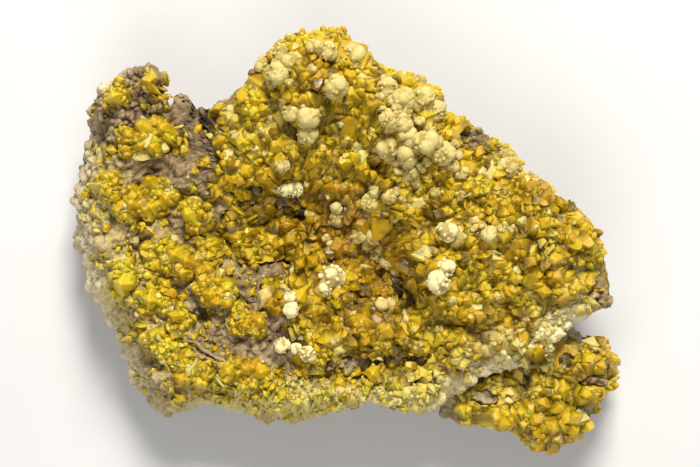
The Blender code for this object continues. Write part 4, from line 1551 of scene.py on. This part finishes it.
@dataclass(frozen=True)
class Cauliflower:
    """A round nodule made of knobs that grew into each other."""

    ball: Ball
    seed: int

    def build(self, druse: Druse) -> Surface:
        """A ball whose reach in each direction is that of the outermost of its knobs.

        A few broad lobes carry many low knobs.  Both are small balls whose middles lie on a
        sphere, spread by the golden angle.  A ray from the middle leaves a knob at
        d.k + sqrt((d.k)^2 - |k|^2 + r^2).  Sandy grains rise with fractal noise.
        """
        dice = np.random.default_rng(self.seed)
        around, rings = (60, 38) if self.ball.radius > 4.85 else (26, 17)
        tilt = np.linspace(0, math.pi, rings + 1)[1:-1, None]
        turn = np.linspace(0, math.tau, around, endpoint=False)[None]
        wide = np.sin(tilt)
        body = np.stack([np.cos(tilt) + 0 * turn, wide * np.cos(turn), wide * np.sin(turn)], axis=-1)
        body = body.reshape(-1, 3)
        directions = np.concatenate([body, [[1.0, 0, 0], [-1.0, 0, 0]]])
        reach = np.full(len(directions), 0.7)
        lobes = int(dice.integers(4, 8)) if self.ball.radius > 4 else int(dice.integers(3, 5))
        for knobs, out, size, spread in ((lobes, 0.4, 0.6, 0.3), (lobes * 7, 0.8, 0.16, 0.2)):
            number = np.arange(knobs) + 0.5
            height = 1 - 2 * number / knobs
            flat = np.sqrt(1 - height**2)
            bearing = GOLDEN_TURN * number + dice.uniform(0, math.tau)
            middles = np.stack([flat * np.cos(bearing), flat * np.sin(bearing), height], axis=1)
            middles += dice.normal(0, spread, middles.shape)
            middles *= out / np.linalg.norm(middles, axis=1, keepdims=True)
            sizes = size * dice.uniform(0.8, 1.12, knobs)
            along = directions @ middles.T
            inside = along**2 - out**2 + sizes**2
            left = np.where(inside > 0, along + np.sqrt(np.maximum(inside, 0)), 0)
            reach = np.maximum(reach, left.max(1))
        crease = np.clip((reach - 0.74) / 0.22, 0, 1)
        radius = self.ball.radius
        reach = reach + fractal(directions * radius + self.seed, 1.6, 3, 81) * 0.22 / radius
        spot_x, spot_y = np.array([self.ball.x]), np.array([self.ball.y])
        rock = druse.mass.front_height(spot_x, spot_y)[0]
        ground = max(druse.height(spot_x, spot_y)[0], rock + CRUST_RISE)
        middle = np.array([self.ball.x, self.ball.y, ground + 3.5 + 0.5 * radius])
        points = middle + directions * (reach * radius)[:, None]
        poles = len(body)
        ring = np.arange(around)
        last = ring + (rings - 2) * around
        top = np.stack([ring, np.roll(ring, -1), np.full(around, poles)], axis=1)
        low = np.stack([np.roll(last, -1), last, np.full(around, poles + 1)], axis=1)
        faces = np.concatenate([grid_triangles(rings - 1, around, wraps=True)[:, ::-1], top, low])
        away = [math.hypot(self.ball.x - x, self.ball.y - y) for x, y in WHITE_NODULES]
        white = float(min(away) < WHITE_REACH)
        marks = {"crease": crease, "white": np.full(len(points), white)}
        surface = Surface(points, faces, marks, np.ones(len(faces), dtype=bool))
        surface.face_outwards()
        return surface


def nodules(balls: Sequence[Ball], first_seed: int, druse: Druse) -> Surface:
    """Several balls on a crust, in one surface, each with the next seed."""
    seeded = enumerate(balls, first_seed)
    return joined([Cauliflower(ball, seed).build(druse) for seed, ball in seeded])


# ---- finishes ----


class Graph:
    """A material's nodes, with short calls for the ones that the finishes use."""

    def __init__(self, name: str) -> None:
        """Starts a material with its Principled shader."""
        self.material = bpy.data.materials.new(name)
        self.material.use_nodes = True
        self.tree = self.material.node_tree
        self.shader = self.tree.nodes["Principled BSDF"]
        self.place = self.tree.nodes.new("ShaderNodeTexCoord").outputs["Object"]

    def feed(self, socket: Socket, value: object) -> None:
        """Links a socket to another or sets its plain value."""
        if isinstance(value, Socket):
            self.tree.links.new(value, socket)
        else:
            socket.default_value = value

    def attribute(self, name: str) -> Socket:
        """A mark of the mesh."""
        node = self.tree.nodes.new("ShaderNodeAttribute")
        node.attribute_name = name
        return node.outputs["Fac"]

    def noise(self, size: float, detail: float = 3.0, roughness: float = 0.55) -> Socket:
        """Noise with features of a size in millimetres."""
        node = self.tree.nodes.new("ShaderNodeTexNoise")
        self.tree.links.new(self.place, node.inputs["Vector"])
        node.inputs["Scale"].default_value = 1 / (size * MM)
        node.inputs["Detail"].default_value = detail
        node.inputs["Roughness"].default_value = roughness
        return node.outputs["Fac"]

    def grains(self, size: float) -> Socket:
        """Distance to the nearest of scattered points about a size in millimetres apart."""
        node = self.tree.nodes.new("ShaderNodeTexVoronoi")
        self.tree.links.new(self.place, node.inputs["Vector"])
        node.inputs["Scale"].default_value = 1 / (size * MM)
        return node.outputs["Distance"]

    def maths(self, operation: str, a: object, b: object, clamp: bool = False) -> Socket:
        """A sum, product or power of two values."""
        node = self.tree.nodes.new("ShaderNodeMath")
        node.operation = operation
        node.use_clamp = clamp
        self.feed(node.inputs[0], a)
        self.feed(node.inputs[1], b)
        return node.outputs[0]

    def span(
        self, value: object, low: float, high: float, to_low: float = 0.0, to_high: float = 1.0
    ) -> Socket:
        """Maps low..high of a value onto another span, and holds it there."""
        node = self.tree.nodes.new("ShaderNodeMapRange")
        names = ("From Min", "From Max", "To Min", "To Max")
        for name, number in zip(names, (low, high, to_low, to_high)):
            node.inputs[name].default_value = number
        self.feed(node.inputs["Value"], value)
        return node.outputs["Result"]

    def ramp(self, value: object, stops: tuple[tuple[float, Colour], ...]) -> Socket:
        """A colour for each value, blended between stops."""
        node = self.tree.nodes.new("ShaderNodeValToRGB")
        elements = node.color_ramp.elements
        while len(elements) < len(stops):
            elements.new(0.5)
        for element, (position, colour) in zip(elements, stops):
            element.position = position
            element.color = (*colour, 1)
        self.feed(node.inputs["Fac"], value)
        return node.outputs["Color"]

    def mix(self, share: object, a: object, b: object) -> Socket:
        """A blend of two colours."""
        node = self.tree.nodes.new("ShaderNodeMix")
        node.data_type = "RGBA"
        self.feed(node.inputs[0], share)
        self.feed(node.inputs[6], (*a, 1) if isinstance(a, tuple) else a)
        self.feed(node.inputs[7], (*b, 1) if isinstance(b, tuple) else b)
        return node.outputs[2]

    def bump(
        self, height: object, depth: float, strength: float = 1.0, normal: object = None
    ) -> Socket:
        """A bump of a depth in millimetres."""
        node = self.tree.nodes.new("ShaderNodeBump")
        node.inputs["Strength"].default_value = strength
        node.inputs["Distance"].default_value = depth * MM
        self.feed(node.inputs["Height"], height)
        if normal is not None:
            self.feed(node.inputs["Normal"], normal)
        return node.outputs["Normal"]

    def finish(self, colour: object, roughness: object, normal: object) -> bpy.types.Material:
        """Puts colour, roughness and bump on the shader."""
        self.feed(self.shader.inputs["Base Color"], colour)
        self.feed(self.shader.inputs["Roughness"], roughness)
        self.feed(self.shader.inputs["Normal"], normal)
        return self.material


@dataclass(frozen=True)
class SulfurFinish:
    """Resinous translucent sulfur, from lemon to amber, with painted shade that darkens it nearly to
    black at the roots and in the crevices.
    """

    lemon: Colour = (0.73, 0.575, 0.028)
    golden: Colour = (0.64, 0.435, 0.006)
    honey: Colour = (0.51, 0.30, 0.003)
    amber: Colour = (0.36, 0.185, 0.003)
    milk: Colour = (0.78, 0.67, 0.26)
    frost: Colour = (0.76, 0.58, 0.07)
    # Painted shade: the near-black of the crevices and the crystals' roots.
    root: Colour = (0.05, 0.027, 0.001)
    ior: float = 1.6

    def build(self) -> bpy.types.Material:
        """Tone picks the colour, the depth mark darkens it as painted shade and milk whitens it."""
        graph = Graph("sulfur")
        cloud = graph.span(graph.noise(3.5, 3), 0.3, 0.7, -0.12, 0.12)
        tone = graph.maths("ADD", graph.attribute("tone"), cloud, clamp=True)
        stops = ((0, self.lemon), (0.36, self.golden), (0.68, self.honey), (1, self.amber))
        colour = graph.ramp(tone, stops)
        # Painted shade: a low depth mark turns the colour towards the root colour.
        root = graph.span(graph.attribute("depth"), 0.0, 0.7, 0.92, 0.0)
        colour = graph.mix(root, colour, self.root)
        frost = graph.span(graph.noise(2.4, 3), 0.52, 0.72, 0.0, 0.35)
        colour = graph.mix(frost, colour, self.frost)
        colour = graph.mix(graph.attribute("milk"), colour, self.milk)
        rough = graph.span(graph.noise(5.0, 2), 0.35, 0.65, 0.28, 0.6)
        rough = graph.maths("ADD", rough, graph.maths("MULTIPLY", graph.attribute("milk"), 0.3))
        normal = graph.bump(graph.noise(1.1, 3), 0.22, 0.8)
        shader = graph.shader
        shader.inputs["IOR"].default_value = self.ior
        shader.inputs["Specular IOR Level"].default_value = 0.4
        shader.inputs["Transmission Weight"].default_value = 0.08
        shader.inputs["Subsurface Weight"].default_value = 0.9
        shader.inputs["Subsurface Radius"].default_value = (1.0, 0.78, 0.35)
        shader.inputs["Subsurface Scale"].default_value = 3.0 * MM
        return graph.finish(colour, rough, normal)


@dataclass(frozen=True)
class RockFinish:
    """Weathered grey-brown rock with pale worn rims, partly painted light, and lemon powder, with
    painted shade in its creases.
    """

    # Painted shade and light: crease is the near-black of the creases between beads, and tan is the
    # lit bead tops.
    crease: Colour = (0.045, 0.026, 0.010)
    brown: Colour = (0.155, 0.100, 0.046)
    grey: Colour = (0.265, 0.185, 0.100)
    tan: Colour = (0.43, 0.32, 0.175)
    # The rims' own pale, made brighter still as painted light on the lower right rim, which faces away
    # from the lamp.
    pale: Colour = (0.92, 0.82, 0.55)
    powder: Colour = (0.76, 0.63, 0.20)
    stain: Colour = (0.34, 0.23, 0.02)

    def build(self) -> bpy.types.Material:
        """Painted shade darkens the creases and painted light makes the bead tops tan; marks add the
        pale rim, partly painted light, the powder and the stain.
        """
        graph = Graph("host_rock")
        broad = graph.noise(16, 4)
        fine = graph.noise(2.6, 5, 0.65)
        # Painted light and shade: the bead mark runs the ramp from the dark crease colour to tan tops,
        # and keeps pale and powder out of the creases.
        pit = graph.attribute("pit")
        blend = graph.maths("MULTIPLY", pit, 0.75)
        blend = graph.maths("ADD", blend, graph.maths("MULTIPLY", broad, 0.3))
        blend = graph.maths("ADD", blend, graph.span(fine, 0.3, 0.7, -0.14, 0.14))
        colour = graph.ramp(
            blend, ((0.14, self.crease), (0.34, self.brown), (0.56, self.grey), (0.82, self.tan))
        )
        speck = graph.span(graph.noise(1.6, 4, 0.7), 0.3, 0.5, 0.55, 1)
        pale = graph.maths("MULTIPLY", graph.attribute("pale"), speck)
        pale = graph.maths("MULTIPLY", pale, graph.span(pit, 0.05, 0.35, 0.7, 1))
        colour = graph.mix(pale, colour, self.pale)
        dust = graph.span(graph.noise(2.8, 5, 0.7), 0.36, 0.56)
        dust = graph.maths("MULTIPLY", graph.attribute("powder"), dust)
        dust = graph.maths("MULTIPLY", dust, graph.span(pit, 0.05, 0.45, 0.25, 1))
        colour = graph.mix(dust, colour, self.powder)
        stain = graph.span(fine, 0.3, 0.6, 0.5, 0.95)
        stain = graph.maths("MULTIPLY", graph.attribute("stain"), stain)
        colour = graph.mix(stain, colour, self.stain)
        rough = graph.span(graph.noise(4, 3), 0.3, 0.7, 0.78, 0.98)
        normal = graph.bump(fine, 0.9, 0.8)
        normal = graph.bump(graph.grains(1.2), 0.6, 0.8, normal)
        return graph.finish(colour, rough, normal)


@dataclass(frozen=True)
class NoduleFinish:
    """Matte cream nodules with a sandy skin, darker and yellower in their creases."""

    cream: Colour = (0.60, 0.49, 0.165)
    bright: Colour = (0.72, 0.61, 0.24)
    white: Colour = (0.90, 0.81, 0.43)
    crease: Colour = (0.36, 0.25, 0.04)
    sand: Colour = (0.36, 0.30, 0.11)

    def build(self) -> bpy.types.Material:
        """Noise picks between two creams, and the crease mark darkens and yellows the hollows."""
        graph = Graph("cream_nodule")
        colour = graph.ramp(graph.noise(6, 4), ((0.35, self.cream), (0.65, self.bright)))
        colour = graph.mix(graph.attribute("white"), colour, self.white)
        hollow = graph.span(graph.attribute("crease"), 0.1, 0.8, 0.8, 0)
        colour = graph.mix(hollow, colour, self.crease)
        sand = graph.span(graph.noise(0.8, 3, 0.7), 0.3, 0.6, 0.3, 0)
        colour = graph.mix(sand, colour, self.sand)
        rough = graph.span(graph.noise(2, 2), 0.3, 0.7, 0.82, 0.98)
        normal = graph.bump(graph.grains(0.75), 0.25, 0.6)
        normal = graph.bump(graph.noise(0.5, 3), 0.12, 0.5, normal)
        return graph.finish(colour, rough, normal)


@dataclass(frozen=True)
class FloorFinish:
    """A plain pale table top."""

    dim: Colour = (0.66, 0.67, 0.69)
    light: Colour = (0.69, 0.70, 0.72)

    def build(self) -> bpy.types.Material:
        """Pale grey with hardly any cloudiness."""
        graph = Graph("pale_table")
        colour = graph.ramp(graph.noise(180, 2), ((0.3, self.dim), (0.7, self.light)))
        return graph.finish(colour, 0.75, graph.bump(graph.noise(1.5, 2), 0.05, 0.2))


# ---- putting it together ----


def add_piece(
    name: str,
    surface: Surface,
    material: bpy.types.Material,
    nodes: tuple[str, ...] = (),
) -> None:
    """Makes a surface an object of the scene that rides on the specimen's body.

    Args:
        name: the object's name.
        surface: its triangles and marks.
        material: its finish.
        nodes: the solids that it stands for.
    """
    mesh = bpy.data.meshes.new(name)
    mesh.from_pydata(surface.points * MM, [], surface.faces)
    for mark, values in surface.marks.items():
        attribute = mesh.attributes.new(mark, "FLOAT", "POINT")
        attribute.data.foreach_set("value", values.astype(np.float32))
    mesh.polygons.foreach_set("use_smooth", surface.softness())
    mesh.materials.append(material)
    thing = bpy.data.objects.new(name, mesh)
    bpy.context.scene.collection.objects.link(thing)
    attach(thing, BODY)
    if nodes:
        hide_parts(*nodes)
    log.info("%s: %d triangles", name, len(surface.faces))


@dataclass(frozen=True)
class Studio:
    """The pale floor, the soft lights and the camera straight above the crystal face."""

    aim: Place = (0.0021, 0.0045, 0.058)
    millimetres_wide: float = 420.0
    lens: float = 100.0
    sensor: float = 36.0
    key_power: float = 92.0
    key_colour: Colour = (1.0, 0.955, 0.88)
    fill_power: float = 19.0
    fill_colour: Colour = (1.0, 0.97, 0.92)
    sky_strength: float = 0.18

    def build(self) -> None:
        """Makes floor, lights, world and camera."""
        self.add_floor()
        self.add_light("key", (0.25, 1.75, 1.85), 0.8, self.key_power, self.key_colour)
        self.add_light("fill", (-0.2, -1.2, 1.5), 1.6, self.fill_power, self.fill_colour)
        bpy.context.scene.view_settings.view_transform = "Standard"
        world = bpy.data.worlds.new("studio")
        world.use_nodes = True
        sky = world.node_tree.nodes["Background"]
        sky.inputs["Color"].default_value = (*self.fill_colour, 1)
        sky.inputs["Strength"].default_value = self.sky_strength
        bpy.context.scene.world = world
        self.add_camera()

    def add_floor(self) -> None:
        """A flat square of two and a half metres."""
        corners = np.array([(-1, -1, 0), (1, -1, 0), (1, 1, 0), (-1, 1, 0)]) * 1250.0
        mesh = bpy.data.meshes.new("table_top")
        mesh.from_pydata(corners * MM, [], [(0, 1, 2, 3)])
        mesh.materials.append(FloorFinish().build())
        floor = bpy.data.objects.new("table_top", mesh)
        bpy.context.scene.collection.objects.link(floor)

    def add_light(
        self, name: str, place: Place, size: float, power: float, colour: Colour
    ) -> None:
        """A square soft light that faces the specimen."""
        data = bpy.data.lights.new(name, "AREA")
        data.size = size
        data.energy = power
        data.color = colour
        light = bpy.data.objects.new(name, data)
        light.location = place
        facing = Vector(self.aim) - Vector(place)
        light.rotation_euler = facing.to_track_quat("-Z", "Y").to_euler()
        bpy.context.scene.collection.objects.link(light)

    def add_camera(self) -> None:
        """Looks straight down; its height gives the view's width at the face's middle level."""
        data = bpy.data.cameras.new("camera")
        data.lens = self.lens
        data.sensor_width = self.sensor
        camera = bpy.data.objects.new("camera", data)
        height = self.millimetres_wide * MM * self.lens / self.sensor
        camera.location = (self.aim[0], self.aim[1], self.aim[2] + height)
        bpy.context.scene.collection.objects.link(camera)
        bpy.context.scene.camera = camera


def build_druse(
    druse: Druse,
    node: str,
    halves: int,
    balls: list[Ball],
    finish: bpy.types.Material,
    spacing: float,
    seed: int,
) -> None:
    """The crust's packed skin, in one piece or more, and the crystals that stand out of it.

    Args:
        druse: the crust.
        node: the solid that it stands for.
        halves: how many bands of rows its skin is made in.
        balls: nodules that the crystals leave room for.
        finish: the sulfur.
        spacing: distance between the single crystals.
        seed: of the random numbers.
    """
    dice = np.random.default_rng(seed)
    lines = np.linspace(0, druse.cells, halves + 1).astype(int)
    for number, (low, high) in enumerate(zip(lines[:-1], lines[1:])):
        name = druse.name + ("" if number == 0 else "_upper")
        add_piece(name, druse.floor(slice(low, high + 1)), finish, (node,))
    sizes = (0.26 * spacing, 0.5 * spacing)
    coarse = druse.seeds(spacing, sizes, balls, seed).with_twins(2, dice)
    forms = crystal_forms(COARSE_FORMS)
    add_piece(druse.name + "_crystals", grown(coarse, forms, dice), finish)
    rim = druse.edge_seeds(EDGE_SPACING, EDGE_SIZES, seed + 1).with_twins(1, dice)
    add_piece(druse.name + "_edge_crystals", grown(rim, forms, dice), finish)


def main() -> None:
    """Builds the rock, the crusts, the clusters and the nodules in order, then the studio."""
    logging.basicConfig(level=logging.INFO, format="%(name)s %(message)s")
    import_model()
    sulfur = SulfurFinish().build()
    rock = RockFinish().build()
    cream = NoduleFinish().build()
    host = HostRock()
    for name, surface in host.build().items():
        add_piece(name, surface, rock, ("matrix",))
    slab_hills = scattered_hills(SLAB, 15, (6.5, 11), (4.5, 10.5), 3, CRUST_HILLS)
    slab_druse = Druse(SLAB, "golden_crust", 400, slab_hills, -0.15)
    lobe_hills = scattered_hills(LOBE, 16, (7, 10.5), (7, 16), 4)
    lobe_druse = Druse(LOBE, "lobe_crust", 170, lobe_hills, mosaics=LOBE_MOSAICS, jag=2.6)
    small_balls = list(SMALL_NODULES) + [ball for swarm in SWARMS for ball in swarm.balls()]
    balls = [ball for group in NODULES.values() for ball in group] + small_balls
    build_druse(slab_druse, "sulfur_crust", 2, balls, sulfur, 8.5, 11)
    build_druse(lobe_druse, "sulfur_crust_lobe", 1, balls, sulfur, 7.6, 5)
    for seed, cluster in enumerate(CLUSTERS):
        surface = cluster.build(CLUSTER_SEED + seed, host)
        add_piece("cluster_" + cluster.name, surface, sulfur, (cluster.node,))
    add_piece("stray_crystals", StrayCrystals().build(host), sulfur)
    for name, table, habits in (("blades", BLADES, (Habit.TABLET,)), ("blocks", BLOCKS, COARSE_FORMS)):
        large = LargeCrystals(table, habits).build(slab_druse, lobe_druse, host)
        add_piece("large_" + name, large, sulfur)
    add_piece("rock_ribs", Laminae().build(host), rock)
    for number, (name, group) in enumerate(NODULES.items()):
        surface = nodules(group, NODULE_SEED + 10 * number, slab_druse)
        add_piece("cream_" + name, surface, cream, ("nodule_" + name,))
    add_piece("cream_small", nodules(small_balls, SMALL_NODULE_SEED, slab_druse), cream)
    Studio().build()


if __name__ == "__main__":
    main()
